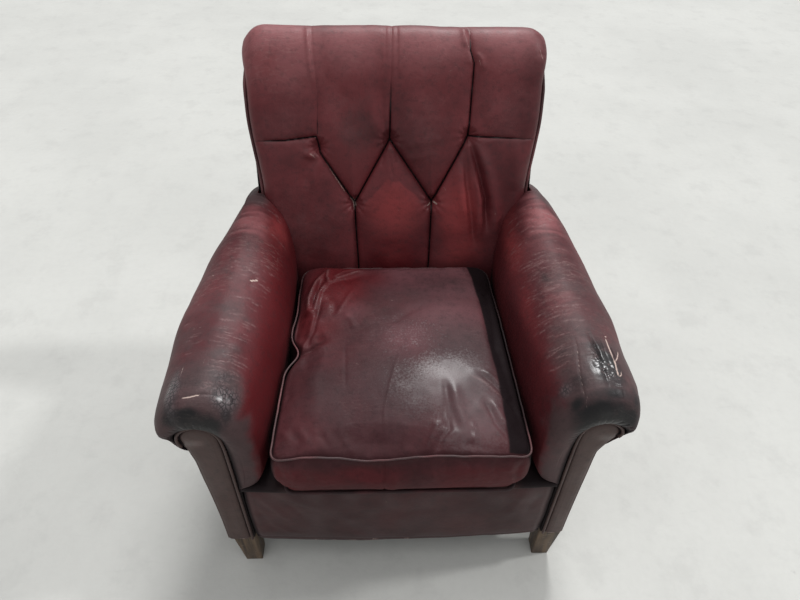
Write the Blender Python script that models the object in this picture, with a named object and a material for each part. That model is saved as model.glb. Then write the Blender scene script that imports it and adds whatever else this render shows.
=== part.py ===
"""Worn leather club chair: scroll arms, tufted back and a loose cushion on a sprung hardwood frame.

Metres, +Z up, the front faces -Y. The origin is on the floor under the middle of the chair.
Each sub-part is one object and one closed body. Pieces that touch are kept a small clearance apart.
"""

import math

import bmesh
import bpy
from mathutils import Vector

# Clearance and overall plan
clearance = 0.0003          # between pieces that touch
skin = 0.0045               # thickness of a leather covered panel
front_y = -0.372            # front face of the arm facings
facing_thickness = 0.012
nose_reach = 0.021          # how far the arm roll stands proud of the facing
side_front = 0.3510         # half width over the outside arm panels, at the facings
side_rear = 0.3220          # and at the back
leg_height = 0.1080         # clear height of the front legs
seat_z = 0.3100             # top of the seat deck, which carries the cushion, arm pads and back

# Timber frame
rail_bottom = 0.1135
rail_top = 0.2000
rail_thickness = 0.025
front_rail_y = -0.352
rear_rail_y = 0.2353
rail_line = (0.2990, 0.2845)    # inner edge of the side and arm rails, at the front and rear posts
post_in = 0.2990                # front post, inner and outer face
post_out = 0.3444
foot_in = 0.2970                # inner face of the foot under it
post_depth = 0.045
arm_rail_z = 0.4300
arm_rail_thickness = 0.0250
tacking_rail_z = 0.3120
tacking_rail_height = 0.040
rear_post_in = 0.2660
rear_post_out = 0.3040
bend_z = 0.3000             # where the back posts start to rake
post_top = 0.8350
post_front = (0.2250, 0.3500)   # y of the front face of the back posts, at the bend and at the top
post_rear = (0.2700, 0.3922)

# Springing
strap_width = 0.050
strap_thickness = 0.002
strap_z = 0.1110
strap_wave = 0.0012
spring_x = (-0.16, 0.0, 0.16)
spring_y = (-0.225, -0.065, 0.095)
spring_wire = 0.002
spring_turns = 4.5
spring_radius = 0.045
spring_waist = 0.030
canvas_z = 0.2690
canvas_thickness = 0.0016

# Back
back_half = 0.3080          # half width of the inside back above the arms
back_half_low = 0.2835      # and between the arm rails
edge_round = 0.032          # rounding of its side edges
flare_start = 0.500         # height at which the back has that width
back_flare = 0.0225         # how much wider each side gets, per metre of height
welt_radius = 0.0033
back_profile = (
    (0.114, 0.3103), (0.116, 0.350), (0.122, 0.420), (0.140, 0.485), (0.163, 0.550), (0.203, 0.660),
    (0.245, 0.765), (0.270, 0.822), (0.296, 0.860), (0.330, 0.8815), (0.366, 0.8800), (0.394, 0.861),
    (0.408, 0.838), (0.410, 0.815),
)
upper_tufts = ((-0.163, 0.674), (-0.012, 0.682), (0.156, 0.690))
lower_tufts = ((-0.090, 0.561), (0.083, 0.563))

# Arms: outline of the padded roll and of the facing, seen from the front, x outwards
arm_outline = (
    (0.2860, 0.3103), (0.2640, 0.315), (0.2500, 0.333), (0.2430, 0.365), (0.2400, 0.420), (0.2430, 0.470),
    (0.2580, 0.520), (0.2880, 0.555), (0.3250, 0.567), (0.3650, 0.558), (0.3950, 0.530), (0.4090, 0.492),
    (0.4060, 0.460), (0.3890, 0.438), (0.3680, 0.4275), (0.3515, 0.4225),
)
mouth_outline = (
    (0.2954, 0.3103), (0.2954, 0.400), (0.2962, 0.440), (0.3004, 0.4683), (0.3136, 0.4886),
    (0.3380, 0.4981), (0.3603, 0.4920), (0.3760, 0.4760), (0.3806, 0.4570), (0.3740, 0.4395),
    (0.3620, 0.4280), (0.3515, 0.4225),
)
roll_seam_z = 0.4225        # where the roll meets the outside arm panel
arm_points = 24
arm_crest_x = 0.325

# Cushion
cushion_front = -0.407
cushion_rear = 0.106
cushion_half_front = 0.2240
cushion_half_rear = 0.2105
cushion_corner_front = 0.024
cushion_corner_rear = 0.040
cushion_points = 44

leather_red = (0.105, 0.016, 0.018, 1.0)
leather_dark = (0.048, 0.018, 0.018, 1.0)
leather_brown = (0.058, 0.030, 0.028, 1.0)
timber = (0.36, 0.22, 0.12, 1.0)
jute = (0.42, 0.32, 0.20, 1.0)
canvas_cloth = (0.50, 0.42, 0.30, 1.0)
steel = (0.30, 0.28, 0.26, 1.0)

sides = (("left", -1), ("right", 1))


def remove_all_objects():
    for item in list(bpy.data.objects):
        bpy.data.objects.remove(item, do_unlink=True)


def finish_for(name, colour, roughness, metallic=0.0):
    material = bpy.data.materials.new(name + "_finish")
    material.use_nodes = True
    shader = material.node_tree.nodes["Principled BSDF"]
    shader.inputs["Base Color"].default_value = colour
    shader.inputs["Roughness"].default_value = roughness
    shader.inputs["Metallic"].default_value = metallic
    material.diffuse_color = colour
    return material


def add_object(name, data, colour, roughness, location=(0.0, 0.0, 0.0), metallic=0.0):
    piece = bpy.data.objects.new(name, data)
    bpy.context.collection.objects.link(piece)
    piece.parent = bpy.data.objects["chair"]
    piece.location = location
    if not data.materials:
        data.materials.append(finish_for(name, colour, roughness, metallic))
    return piece


def mesh_from(bm, name, smooth_angle=None):
    bmesh.ops.recalc_face_normals(bm, faces=bm.faces)
    mesh = bpy.data.meshes.new(name)
    bm.to_mesh(mesh)
    bm.free()
    if smooth_angle:
        mesh.shade_smooth()
        mesh.set_sharp_from_angle(angle=math.radians(smooth_angle))
    return mesh


def smooth_step(value, start, end):
    t = min(1.0, max(0.0, (value - start) / (end - start)))
    return t * t * (3.0 - 2.0 * t)


def follow(value, steps):
    """Value of a smooth ramp through the pairs in steps."""
    if value <= steps[0][0]:
        return steps[0][1]
    for (start, low), (end, high) in zip(steps, steps[1:]):
        if value <= end:
            return low + (high - low) * smooth_step(value, start, end)
    return steps[-1][1]


def curve_through(points, count):
    """A smooth open curve through the points, read at equal steps of its length."""
    knots = [Vector(point) for point in points]
    knots = [2 * knots[0] - knots[1]] + knots + [2 * knots[-1] - knots[-2]]
    fine = []
    steps = 24
    for a, b, c, d in zip(knots, knots[1:], knots[2:], knots[3:]):
        for step in range(steps):
            t = step / steps
            fine.append(0.5 * (2 * b + (c - a) * t + (2 * a - 5 * b + 4 * c - d) * t * t
                               + (3 * b - a - 3 * c + d) * t * t * t))
    fine.append(knots[-2])
    lengths = [0.0]
    for a, b in zip(fine, fine[1:]):
        lengths.append(lengths[-1] + (b - a).length)
    result = []
    index = 0
    for step in range(count):
        target = lengths[-1] * step / (count - 1)
        while index < len(fine) - 2 and lengths[index + 1] < target:
            index += 1
        span = lengths[index + 1] - lengths[index]
        result.append(fine[index].lerp(fine[index + 1], (target - lengths[index]) / span))
    return result


def surface(columns, rows, place, around=False):
    """A grid bent by place(column, row). With around, it closes into a tube and its ends are capped."""
    bm = bmesh.new()
    bmesh.ops.create_grid(bm, x_segments=columns, y_segments=rows, size=0.5)
    for vert in bm.verts:
        column = round((vert.co.x + 0.5) * columns)
        row = round((vert.co.y + 0.5) * rows)
        vert.co = place(column % columns if around else column, row)
    if around:
        bmesh.ops.remove_doubles(bm, verts=bm.verts, dist=0.00001)
        bmesh.ops.holes_fill(bm, edges=[edge for edge in bm.edges if edge.is_boundary])
    return bm


def bar(name, levels, colour, roughness, bevel=0.0):
    """A four sided bar from levels of (z, x low, x high, y low, y high)."""
    def place(column, row):
        z, x_low, x_high, y_low, y_high = levels[row]
        x = x_low if column in (0, 3) else x_high
        y = y_low if column in (0, 1) else y_high
        return Vector((x, y, z))

    bm = surface(4, len(levels) - 1, place, around=True)
    piece = add_object(name, mesh_from(bm, name), colour, roughness)
    if bevel:
        rounding = piece.modifiers.new("edges", "BEVEL")
        rounding.width = bevel
        rounding.segments = 1
        rounding.limit_method = "ANGLE"
    return piece


def mirrored_bar(name, side, levels, colour, roughness, bevel=0.0):
    flipped = [(z, *sorted((side * x_low, side * x_high)), y_low, y_high)
               for z, x_low, x_high, y_low, y_high in levels]
    return bar(name, flipped, colour, roughness, bevel)


def box(name, x_range, y_range, z_range, colour, roughness):
    """A box placed by its location."""
    size = Vector((x_range[1] - x_range[0], y_range[1] - y_range[0], z_range[1] - z_range[0]))
    bm = bmesh.new()
    bmesh.ops.create_cube(bm, size=1.0)
    bmesh.ops.scale(bm, vec=size, verts=bm.verts)
    centre = Vector((sum(x_range) / 2, sum(y_range) / 2, sum(z_range) / 2))
    return add_object(name, mesh_from(bm, name), colour, roughness, centre)


def plate(name, outline, low, high, axis, colour, roughness, bevel=0.0):
    """A flat outline extruded along an axis: X takes (y, z) points, Y takes (x, z), Z takes (x, y)."""
    def at(point, level):
        first, second = point
        return {"X": (level, first, second), "Y": (first, level, second), "Z": (first, second, level)}[axis]

    bm = bmesh.new()
    face = bm.faces.new([bm.verts.new(at(point, low)) for point in outline])
    extruded = bmesh.ops.extrude_face_region(bm, geom=[face])
    shift = Vector(at((0.0, 0.0), high - low))
    bmesh.ops.translate(bm, vec=shift, verts=[v for v in extruded["geom"] if isinstance(v, bmesh.types.BMVert)])
    piece = add_object(name, mesh_from(bm, name), colour, roughness)
    if bevel:
        rounding = piece.modifiers.new("edges", "BEVEL")
        rounding.width = bevel
        rounding.segments = 2
        rounding.limit_method = "ANGLE"
        rounding.angle_limit = math.radians(60)
    return piece


def cord(name, points, radius, colour, roughness, closed=False, metallic=0.0, sides_resolution=1):
    """A round cord along the points, such as a welt or a spring's wire."""
    curve = bpy.data.curves.new(name, "CURVE")
    curve.dimensions = "3D"
    curve.bevel_depth = radius
    curve.bevel_resolution = sides_resolution
    curve.use_fill_caps = not closed
    spline = curve.splines.new("POLY")
    spline.points.add(len(points) - 1)
    spline.use_cyclic_u = closed
    for knot, point in zip(spline.points, points):
        knot.co = (*point, 1.0)
    return add_object(name, curve, colour, roughness, metallic=metallic)


def side_x(y):
    """Outer face of the outside arm panel at this depth."""
    t = (y - front_y - facing_thickness) / (post_rear[0] - front_y - facing_thickness)
    return side_front + (side_rear - side_front) * t


def rail_x(y):
    """Inner edge of the side and arm rails at this depth: the frame narrows towards the back."""
    t = (y - front_y - facing_thickness) / (post_front[0] - front_y - facing_thickness)
    return rail_line[0] + (rail_line[1] - rail_line[0]) * t


def post_line(limits, z):
    """y of a face of the back posts at this height."""
    t = (max(z, bend_z) - bend_z) / (post_top - bend_z)
    return limits[0] + (limits[1] - limits[0]) * t


# Timber frame -----------------------------------------------------------------------------------

def make_front_legs():
    """A tapered leg that runs on up as the arm's front post."""
    back_of_facing = front_y + facing_thickness + clearance
    for word, side in sides:
        levels = (
            (0.0, 0.2955, 0.3310, front_y + 0.003, front_y + 0.038),
            (leg_height, foot_in, 0.3450, front_y + 0.004, front_y + 0.052),
            (leg_height, post_in, post_out, back_of_facing, back_of_facing + post_depth),
            (arm_rail_z - clearance, post_in, post_out, back_of_facing, back_of_facing + post_depth),
        )
        mirrored_bar("front_leg_" + word, side, levels, timber, 0.55)


def make_rear_legs():
    """A splayed foot, a plumb stretch at the seat and a raked back post, all one piece."""
    for word, side in sides:
        levels = (
            (0.0, 0.2700, 0.3020, 0.2620, 0.2960),
            (0.105, rear_post_in, rear_post_out, post_front[0], post_rear[0]),
            (bend_z, rear_post_in, rear_post_out, post_front[0], post_rear[0]),
            (post_top, rear_post_in, rear_post_out, post_front[1], post_rear[1]),
        )
        mirrored_bar("rear_leg_" + word, side, levels, timber, 0.55)


def rail_plate(name, side, front, rear, thickness, heights, roughness):
    """A rail that follows the frame's taper from the front post to the rear one."""
    outline = [(side * rail_x(front), front), (side * (rail_x(front) + thickness), front),
               (side * (rail_x(rear) + thickness), rear), (side * rail_x(rear), rear)]
    plate(name, outline, heights[0], heights[1], "Z", timber, roughness)


def make_seat_rails():
    heights = (rail_bottom, rail_top)
    reach = post_in - clearance
    box("front_rail", (-reach, reach), (front_rail_y, front_rail_y + rail_thickness), heights, timber, 0.6)
    reach = rear_post_in - clearance
    box("rear_rail", (-reach, reach), (rear_rail_y, rear_rail_y + rail_thickness), heights, timber, 0.6)
    front = front_y + facing_thickness + clearance + post_depth + clearance
    for word, side in sides:
        rear = post_front[0] - clearance
        rail_plate("side_rail_" + word, side, front, rear, rail_thickness, heights, 0.6)


def make_corner_blocks():
    """Triangular blocks glued into the four corners of the seat frame."""
    arm = 0.060
    front = front_rail_y + rail_thickness + clearance
    rear = rear_rail_y - clearance
    for word, side in sides:
        inner = rail_x(front + arm) - clearance
        outline = ((side * (inner - arm), front), (side * inner, front), (side * inner, front + arm))
        plate("front_corner_block_" + word, outline, 0.120, 0.190, "Z", timber, 0.65)
        inner = rear_post_in - clearance
        outline = ((side * (inner - arm), rear), (side * inner, rear), (side * inner, rear - arm))
        plate("rear_corner_block_" + word, outline, 0.120, 0.190, "Z", timber, 0.65)


def make_arm_rails():
    """The flat rail that carries the arm roll, and the tacking rail that its inner face is nailed to."""
    front = front_y + facing_thickness + clearance
    rear = post_line(post_front, arm_rail_z) - clearance
    inset = skin + 0.0005
    for word, side in sides:
        outline = [(side * rail_x(front), front), (side * (side_x(front) - inset), front),
                   (side * (side_x(rear) - inset), rear), (side * rail_x(rear), rear)]
        plate("arm_rail_" + word, outline, arm_rail_z, arm_rail_z + arm_rail_thickness, "Z", timber, 0.6)
        heights = (tacking_rail_z, tacking_rail_z + tacking_rail_height)
        rail_plate("arm_tacking_rail_" + word, side, front + post_depth + clearance,
                   post_front[0] - clearance, 0.016, heights, 0.6)


def make_back_rails():
    reach = rear_post_in - clearance
    inset = 0.003
    for name, low, high in (("back_top_rail", 0.775, post_top), ("back_lower_rail", 0.3040, 0.3450)):
        levels = [(z, -reach, reach, post_line(post_front, z), post_line(post_rear, z) - inset)
                  for z in (low, high)]
        bar(name, levels, timber, 0.6)


# Springing --------------------------------------------------------------------------------------

def strap_level(along, crossings, phase):
    """Height of a woven strap: over and under the straps that it crosses in turn."""
    level = strap_z
    for number, crossing in enumerate(crossings):
        sign = 1.0 if (number + phase) % 2 == 0 else -1.0
        level += sign * strap_wave * (1.0 - smooth_step(abs(along - crossing), 0.030, 0.070))
    return level


def make_strap(name, centre, crossings, reach, phase, lengthwise):
    marks = [reach[0]]
    for crossing in crossings:
        marks += [crossing + step for step in (-0.07, -0.05, -0.03, 0.03, 0.05, 0.07)]
    marks.append(reach[1])

    def place(column, row):
        along = marks[row]
        across = centre + (-0.5 if column in (0, 3) else 0.5) * strap_width
        z = strap_level(along, crossings, phase) + (-0.5 if column in (0, 1) else 0.5) * strap_thickness
        return Vector((across, along, z)) if lengthwise else Vector((along, across, z))

    bm = surface(4, len(marks) - 1, place, around=True)
    add_object(name, mesh_from(bm, name), jute, 0.9)


def make_seat_webbing():
    """Three straps each way, woven under the seat rails. A spring stands on each crossing."""
    for number, x in enumerate(spring_x):
        reach = (front_rail_y + 0.002, rear_rail_y + rail_thickness - 0.002)
        make_strap(f"seat_strap_long_{number + 1}", x, spring_y, reach, number, True)
    for number, y in enumerate(spring_y):
        edge = rail_x(y) + rail_thickness - 0.004
        reach = (-edge, edge)
        make_strap(f"seat_strap_cross_{number + 1}", y, spring_x, reach, number + 1, False)


def make_seat_springs():
    """Hourglass coil springs between the webbing and the spring canvas."""
    low = strap_z + strap_wave + strap_thickness / 2 + clearance + spring_wire
    high = canvas_z - clearance - spring_wire
    steps = 32
    points = []
    for step in range(steps + 1):
        t = step / steps
        turn = 2 * math.pi * spring_turns * t
        radius = spring_waist + (spring_radius - spring_waist) * abs(2 * t - 1) ** 1.5
        rise = smooth_step(t, 0.10, 0.90) * 0.35 + min(1.0, max(0.0, (t - 0.06) / 0.88)) * 0.65
        points.append((radius * math.cos(turn), radius * math.sin(turn), low + (high - low) * rise))
    first = cord("seat_spring_1", points, spring_wire, steel, 0.45, metallic=0.9, sides_resolution=0)
    first.location = (spring_x[0], spring_y[0], 0.0)
    places = [(x, y) for y in spring_y for x in spring_x]
    for number, (x, y) in enumerate(places[1:], start=2):
        add_object(f"seat_spring_{number}", first.data, steel, 0.45, (x, y, 0.0))


def make_seat_canvas_and_deck():
    """Canvas over the springs, and the stuffed deck on it, which rolls forward over the border."""
    box("spring_canvas", (-0.290, 0.290), (-0.345, 0.215), (canvas_z, canvas_z + canvas_thickness),
        canvas_cloth, 0.95)
    low = canvas_z + canvas_thickness + clearance
    half = 0.2925
    columns = 12
    lip = seat_z - 0.0115
    section = ((0.2225, low), (0.2225, seat_z), (-0.374, seat_z), (-0.3815, lip + 0.006), (-0.374, lip),
               (-0.3520, lip), (-0.3520, low))

    def place(column, row):
        x = -half + 2 * half * row / columns
        y, z = section[column]
        if y < -0.36:
            y -= border_bow(x) * 0.8
        return Vector((x, y, z))

    bm = surface(len(section), columns, place, around=True)
    add_object("seat_deck", mesh_from(bm, "seat_deck"), leather_dark, 0.6)


def border_bow(x):
    return 0.009 * (1.0 - (x / 0.2925) ** 2)


def make_front_border():
    """The stuffed leather border over the front rail, bowed forward in the middle."""
    half = 0.2925
    columns = 14
    back = front_rail_y - clearance
    top = seat_z - 0.0120
    section = ((back, 0.1020), (-0.366, 0.1020), (-0.3725, 0.108), (-0.3755, 0.150), (-0.3775, 0.215),
               (-0.3765, 0.270), (-0.3725, top - 0.006), (-0.3650, top), (back, top))

    def place(column, row):
        x = -half + 2 * half * row / columns
        y, z = section[column]
        if y < -0.36:
            y -= border_bow(x)
            z += 0.003 * math.sin(9.0 * x) if z < 0.12 else 0.0
        return Vector((x, y, z))

    bm = surface(len(section), columns, place, around=True)
    add_object("front_border", mesh_from(bm, "front_border", 40), leather_dark, 0.5)


def make_dust_cover():
    """Bottoming cloth tacked under the rails, cut out round the four legs."""
    front, rear = -0.3515, 0.2695
    front_cut = front_y + facing_thickness + post_depth + 4 * clearance
    rear_cut = post_front[0] - 2 * clearance
    right = [(foot_in - 0.0005, front), (foot_in - 0.0005, front_cut),
             (rail_x(front_cut) + rail_thickness - 0.001, front_cut),
             (rail_x(rear_cut) + rail_thickness - 0.001, rear_cut),
             (rear_post_in - 0.0005, rear_cut), (rear_post_in - 0.0005, rear)]
    outline = right + [(-x, y) for x, y in reversed(right)]
    plate("dust_cover", outline, 0.1070, 0.1082, "Z", canvas_cloth, 0.95)


# Back -------------------------------------------------------------------------------------------

def distance_to_line(point, start, end):
    """Distance from a point to a stretch of line, and how far along the stretch it falls."""
    run = end - start
    t = min(1.0, max(0.0, (point - start).dot(run) / run.length_squared))
    return (point - start - run * t).length, t


def pleat_lines():
    """The pleats of the tufting as (start, end, depth at start, depth at end), in x and height."""
    top = 1.02
    left, middle, right = [Vector(tuft) for tuft in upper_tufts]
    low_left, low_right = [Vector(tuft) for tuft in lower_tufts]
    return (
        (Vector((left.x - 0.005, top)), left, 0.002, 0.012),
        (Vector((middle.x + 0.005, top)), middle, 0.003, 0.014),
        (Vector((right.x - 0.006, top)), right, 0.005, 0.016),
        (left, low_left, 0.016, 0.018),
        (low_left, middle, 0.018, 0.018),
        (middle, low_right, 0.018, 0.018),
        (low_right, right, 0.018, 0.016),
        (low_left, Vector((-0.084, 0.300)), 0.016, 0.010),
        (low_right, Vector((0.074, 0.300)), 0.016, 0.010),
        (left, Vector((-0.330, 0.686)), 0.010, 0.005),
        (right, Vector((0.330, 0.690)), 0.010, 0.005),
    )


def tuft_depth(x, height):
    """How deep the leather lies below the crown of the padding, at x and this height up the face."""
    point = Vector((x, height))
    crease = 0.0
    hollow = 0.0
    for start, end, depth_start, depth_end in pleat_lines():
        away, t = distance_to_line(point, start, end)
        depth = depth_start + (depth_end - depth_start) * t
        crease = max(crease, depth * math.exp(-away / 0.012))
        hollow = max(hollow, depth * 0.6 * math.exp(-(away / 0.034) ** 2))
    for tuft in upper_tufts + lower_tufts:
        away = (point - Vector(tuft)).length
        hollow = max(hollow, 0.016 * math.exp(-(away / 0.020) ** 2))
    return crease + hollow


def flare_at(z):
    """How much further out the side of the back is at this height. It leans outwards evenly."""
    return back_flare * (z - flare_start)


def rounding_at(y):
    """The rounding of the back's side edges, which tightens behind the top roll."""
    return edge_round * (1.0 - 0.65 * smooth_step(y, 0.330, 0.400))


def edge_drop(x, y):
    """How far the face of the back rolls away towards its side edges."""
    over = min(edge_round, max(0.0, abs(x) - (back_half - edge_round)))
    return (1.0 - math.sqrt(1.0 - (over / edge_round) ** 2)) * rounding_at(y)


def back_face(count):
    """Points of the back's face from the seat over the top, each with its outward normal and its height.

    Past the front of the top roll the height runs on as length along the face."""
    points = curve_through(back_profile, count)
    result = []
    height = points[0].y
    for number, point in enumerate(points):
        before = points[max(0, number - 1)]
        after = points[min(count - 1, number + 1)]
        run = (after - before).normalized()
        if number:
            climb = point.y - before.y
            height += climb if point.y < 0.80 and climb > 0 else (point - before).length
        result.append((point, Vector((-run.y, run.x)), height))
    return result


def make_arm_notches():
    """Blocks that notch the lower corners of the inside back round the arm rails."""
    bm = bmesh.new()
    for _, side in sides:
        block = bmesh.ops.create_cube(bm, size=1.0)["verts"]
        bmesh.ops.scale(bm, vec=Vector((0.10, 0.60, 0.24)), verts=block)
        bmesh.ops.translate(bm, vec=Vector((side * (back_half_low + 0.05), 0.20, 0.36)), verts=block)
    cutter = bpy.data.objects.new("arm_notches", mesh_from(bm, "arm_notches"))
    bpy.context.collection.objects.link(cutter)
    cutter.hide_render = True
    cutter.display_type = "WIRE"
    return cutter


def make_inside_back():
    """The stuffed and tufted inside back, hooked over the top rail."""
    rows = 52
    face = back_face(rows + 1)
    behind = 0.0050
    inner = [(0.3930, 0.8150), (0.3930, post_top + 0.0006),
             (post_line(post_front, post_top) - behind, post_top + 0.0006)]
    for z in (0.72, 0.60, 0.53, 0.47, 0.38, seat_z + clearance):
        inner.append((post_line(post_front, z) - behind, z))
    columns = 60

    def place(column, row):
        u = -1.0 + 2.0 * row / columns
        if column < len(face):
            point, normal, height = face[column]
            x = u * back_half
            fade = smooth_step(back_half - abs(x), 0.0, 0.030) if point.y > 0.5 else 1.0
            drop = edge_drop(x, point.x) + tuft_depth(x, height) * fade * smooth_step(0.410 - point.x, 0.0, 0.03)
            point = point - normal * drop
            return Vector((x + u * flare_at(point.y), point.x, max(point.y, seat_z + clearance)))
        y, z = inner[column - len(face)]
        return Vector((u * (back_half + flare_at(z)), y, z))

    bm = surface(len(face) + len(inner), columns, place, around=True)
    piece = add_object("inside_back", mesh_from(bm, "inside_back", 50), leather_red, 0.45)
    notch = piece.modifiers.new("arm_notches", "BOOLEAN")
    notch.object = make_arm_notches()
    notch.operation = "DIFFERENCE"
    notch.solver = "EXACT"


def make_back_side(word, side):
    """The boxed side of the back, between the inside back's welt and the outside back."""
    low_z, lip_z = 0.500, 0.8155
    outline = [(post_line(post_rear, low_z) - clearance, low_z)]
    for point, normal, _ in back_face(28):
        if point.y > low_z:
            inside = point - normal * (rounding_at(point.x) + 0.0015)
            outline.append((inside.x, max(inside.y, lip_z) if inside.x > 0.35 else inside.y))
    outline.append((post_line(post_rear, lip_z) - clearance, lip_z))
    bm = bmesh.new()
    flat = back_half + clearance
    face = bm.faces.new([bm.verts.new((side * flat, y, z)) for y, z in outline])
    out = bmesh.ops.extrude_face_region(bm, geom=[face])["geom"]
    bmesh.ops.translate(bm, vec=(side * 0.0050, 0.0, 0.0), verts=[v for v in out if isinstance(v, bmesh.types.BMVert)])
    outer = [f for f in out if isinstance(f, bmesh.types.BMFace)]
    bmesh.ops.inset_region(bm, faces=outer, thickness=0.016, use_even_offset=True)
    bmesh.ops.translate(bm, vec=(side * 0.0062, 0.0, 0.0), verts=outer[0].verts)
    for vert in bm.verts:
        vert.co.x += side * flare_at(vert.co.z)
    add_object("back_side_" + word, mesh_from(bm, "back_side_" + word), leather_dark, 0.5)


def make_back_welt(word, side):
    reach = back_half + welt_radius + clearance
    path = []
    for point, normal, _ in back_face(40):
        if point.y > 0.5:
            inside = point - normal * (rounding_at(point.x) - 0.0035)
            path.append((side * (reach + flare_at(inside.y)), inside.x, inside.y))
    cord("back_welt_" + word, path, welt_radius, leather_dark, 0.45)


def make_outside_back():
    """The leather panel that closes the chair from behind."""
    heights = (0.1055, bend_z, 0.45, 0.60, 0.8145)

    def place(column, row):
        z = heights[row]
        x = side_rear if column in (1, 2) else -side_rear
        y = post_line(post_rear, z) + clearance + (skin if column in (2, 3) else 0.0)
        return Vector((x, y, z))

    bm = surface(4, len(heights) - 1, place, around=True)
    add_object("outside_back", mesh_from(bm, "outside_back"), leather_dark, 0.5)


def make_back_support():
    """Straps across the back posts, and the canvas that carries the stuffing."""
    reach = 0.282
    for number, z in enumerate((0.420, 0.560, 0.700), start=1):
        levels = [(level, -reach, reach, post_line(post_front, level) - 0.0023,
                   post_line(post_front, level) - clearance)
                  for level in (z - strap_width / 2, z + strap_width / 2)]
        bar(f"back_strap_{number}", levels, jute, 0.9)
    levels = [(z, -reach, reach, post_line(post_front, z) - 0.0046, post_line(post_front, z) - 0.0026)
              for z in (seat_z + 0.0005, post_top - 0.003)]
    bar("back_canvas", levels, canvas_cloth, 0.95)


# Arms -------------------------------------------------------------------------------------------

def arm_section(y, blend):
    """Outline of the arm pad at this depth: the facing's mouth at blend 0, the full roll at blend 1."""
    full = curve_through(arm_outline, arm_points)
    mouth = curve_through(mouth_outline, arm_points)
    inner_shift = follow(y, ((-0.37, 0.0), (-0.27, -0.010), (-0.13, -0.019), (0.04, -0.019), (0.13, -0.012)))
    reach = follow(y, ((-0.26, 1.0), (-0.10, 1.12), (0.07, 1.22), (0.20, 0.95), (0.29, 0.45)))
    lift = follow(y, ((-0.06, 0.0), (0.13, 0.020), (0.30, 0.024)))
    edge = side_x(y)
    section = []
    for wide, narrow in zip(full, mouth):
        x, z = wide
        if x < arm_crest_x:
            x += inner_shift * smooth_step(arm_crest_x - x, 0.0, 0.080) * smooth_step(z, 0.300, 0.360)
        elif x < side_front:
            x = arm_crest_x + (x - arm_crest_x) * (edge - arm_crest_x) / (side_front - arm_crest_x)
        else:
            x = edge + (x - side_front) * reach
        z += lift * smooth_step(z, 0.44, 0.55)
        section.append(Vector((x, z)).lerp(narrow, 1.0 - blend))
    wall = edge - skin
    top = arm_rail_z + arm_rail_thickness + clearance
    inner = rail_x(y) - 0.0005
    cavity = ((wall, roll_seam_z), (wall, top), (inner, top), (inner, seat_z + clearance))
    return section + [Vector(point) for point in cavity]


def arm_pad_mesh(name, side):
    """The roll starts inside the facing's mouth, swells forward round it and runs back to the posts."""
    mouth = front_y + facing_thickness + clearance
    nose = front_y - nose_reach
    rake_start = 0.20
    stations = [(mouth, 0.0), (front_y - 0.007, 0.0), (nose + 0.010, 0.16), (nose, 0.42), (nose + 0.004, 0.68),
                (nose + 0.018, 0.88), (front_y + 0.008, 1.0)]
    stations += [(y, 1.0) for y in (-0.31, -0.23, -0.14, -0.05, 0.04, 0.12, 0.18, 0.23, 0.27, 0.30)]
    stations += [(0.318, 0.93)]

    def place(column, row):
        y, blend = stations[row]
        if column >= arm_points:
            y = max(y, mouth)       # the hollow over the timber stops behind the facing
        x, z = arm_section(y, blend)[column]
        if y < front_y:
            swell = 0.40 + 0.60 * smooth_step(z, 0.38, 0.52)
            y = front_y + (y - front_y) * swell
        if y > rake_start:
            end = post_line(post_rear, z) + skin    # the rear end leans with the outside back
            y = rake_start + (y - rake_start) * (end - rake_start) / (stations[-1][0] - rake_start)
        return Vector((side * x, y, z))

    bm = surface(arm_points + 4, len(stations) - 1, place, around=True)
    return mesh_from(bm, name, 50)


def make_back_cutter():
    """A plain block in the shape of the whole back, that the arm pads are cut by."""
    half = side_rear + 0.0008
    face = [entry for entry in back_face(26) if entry[0].y < 0.80]
    welt_front = edge_round - 0.0085
    marks = [0.0, 0.15] + [back_half - edge_round * (1.0 - step) for step in (0, 0.3, 0.5, 0.68, 0.82, 0.93, 1)]
    marks.append(half)
    marks = [-x for x in reversed(marks[1:])] + marks
    rear = [(0.60, 0.80), (0.60, 0.25), (0.112, 0.25)]

    def place(column, row):
        x = marks[row]
        if column < len(face):
            point, normal, _ = face[column]
            point = point - normal * (min(edge_drop(x, 0.0), welt_front) - 0.0016)
            return Vector((x * (1.0 + flare_at(point.y) / back_half), point.x, point.y))
        y, z = rear[column - len(face)]
        return Vector((x, y + (min(edge_drop(x, 0.0), welt_front) if y < 0.2 else 0.0), z))

    bm = surface(len(face) + len(rear), len(marks) - 1, place, around=True)
    cutter = bpy.data.objects.new("back_cutter", mesh_from(bm, "back_cutter"))
    bpy.context.collection.objects.link(cutter)
    cutter.hide_render = True
    cutter.display_type = "WIRE"
    return cutter


def make_arm_pads():
    cutter = make_back_cutter()
    for word, side in sides:
        name = "arm_pad_" + word
        piece = add_object(name, arm_pad_mesh(name, side), leather_brown, 0.42)
        cut = piece.modifiers.new("back", "BOOLEAN")
        cut.object = cutter
        cut.operation = "DIFFERENCE"
        cut.solver = "EXACT"


def inset(path, amount):
    """The path moved to its right-hand side, which is inwards on the facing's outline."""
    result = []
    for number, point in enumerate(path):
        run = (path[min(number + 1, len(path) - 1)] - path[max(number - 1, 0)]).normalized()
        result.append(point + Vector((run.y, -run.x)) * amount)
    return result


def facing_scroll(amount):
    """The facing's edge from the seat up, round the scroll and back to the notch, set in by an amount."""
    return inset(curve_through(mouth_outline, arm_points), amount)


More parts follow.
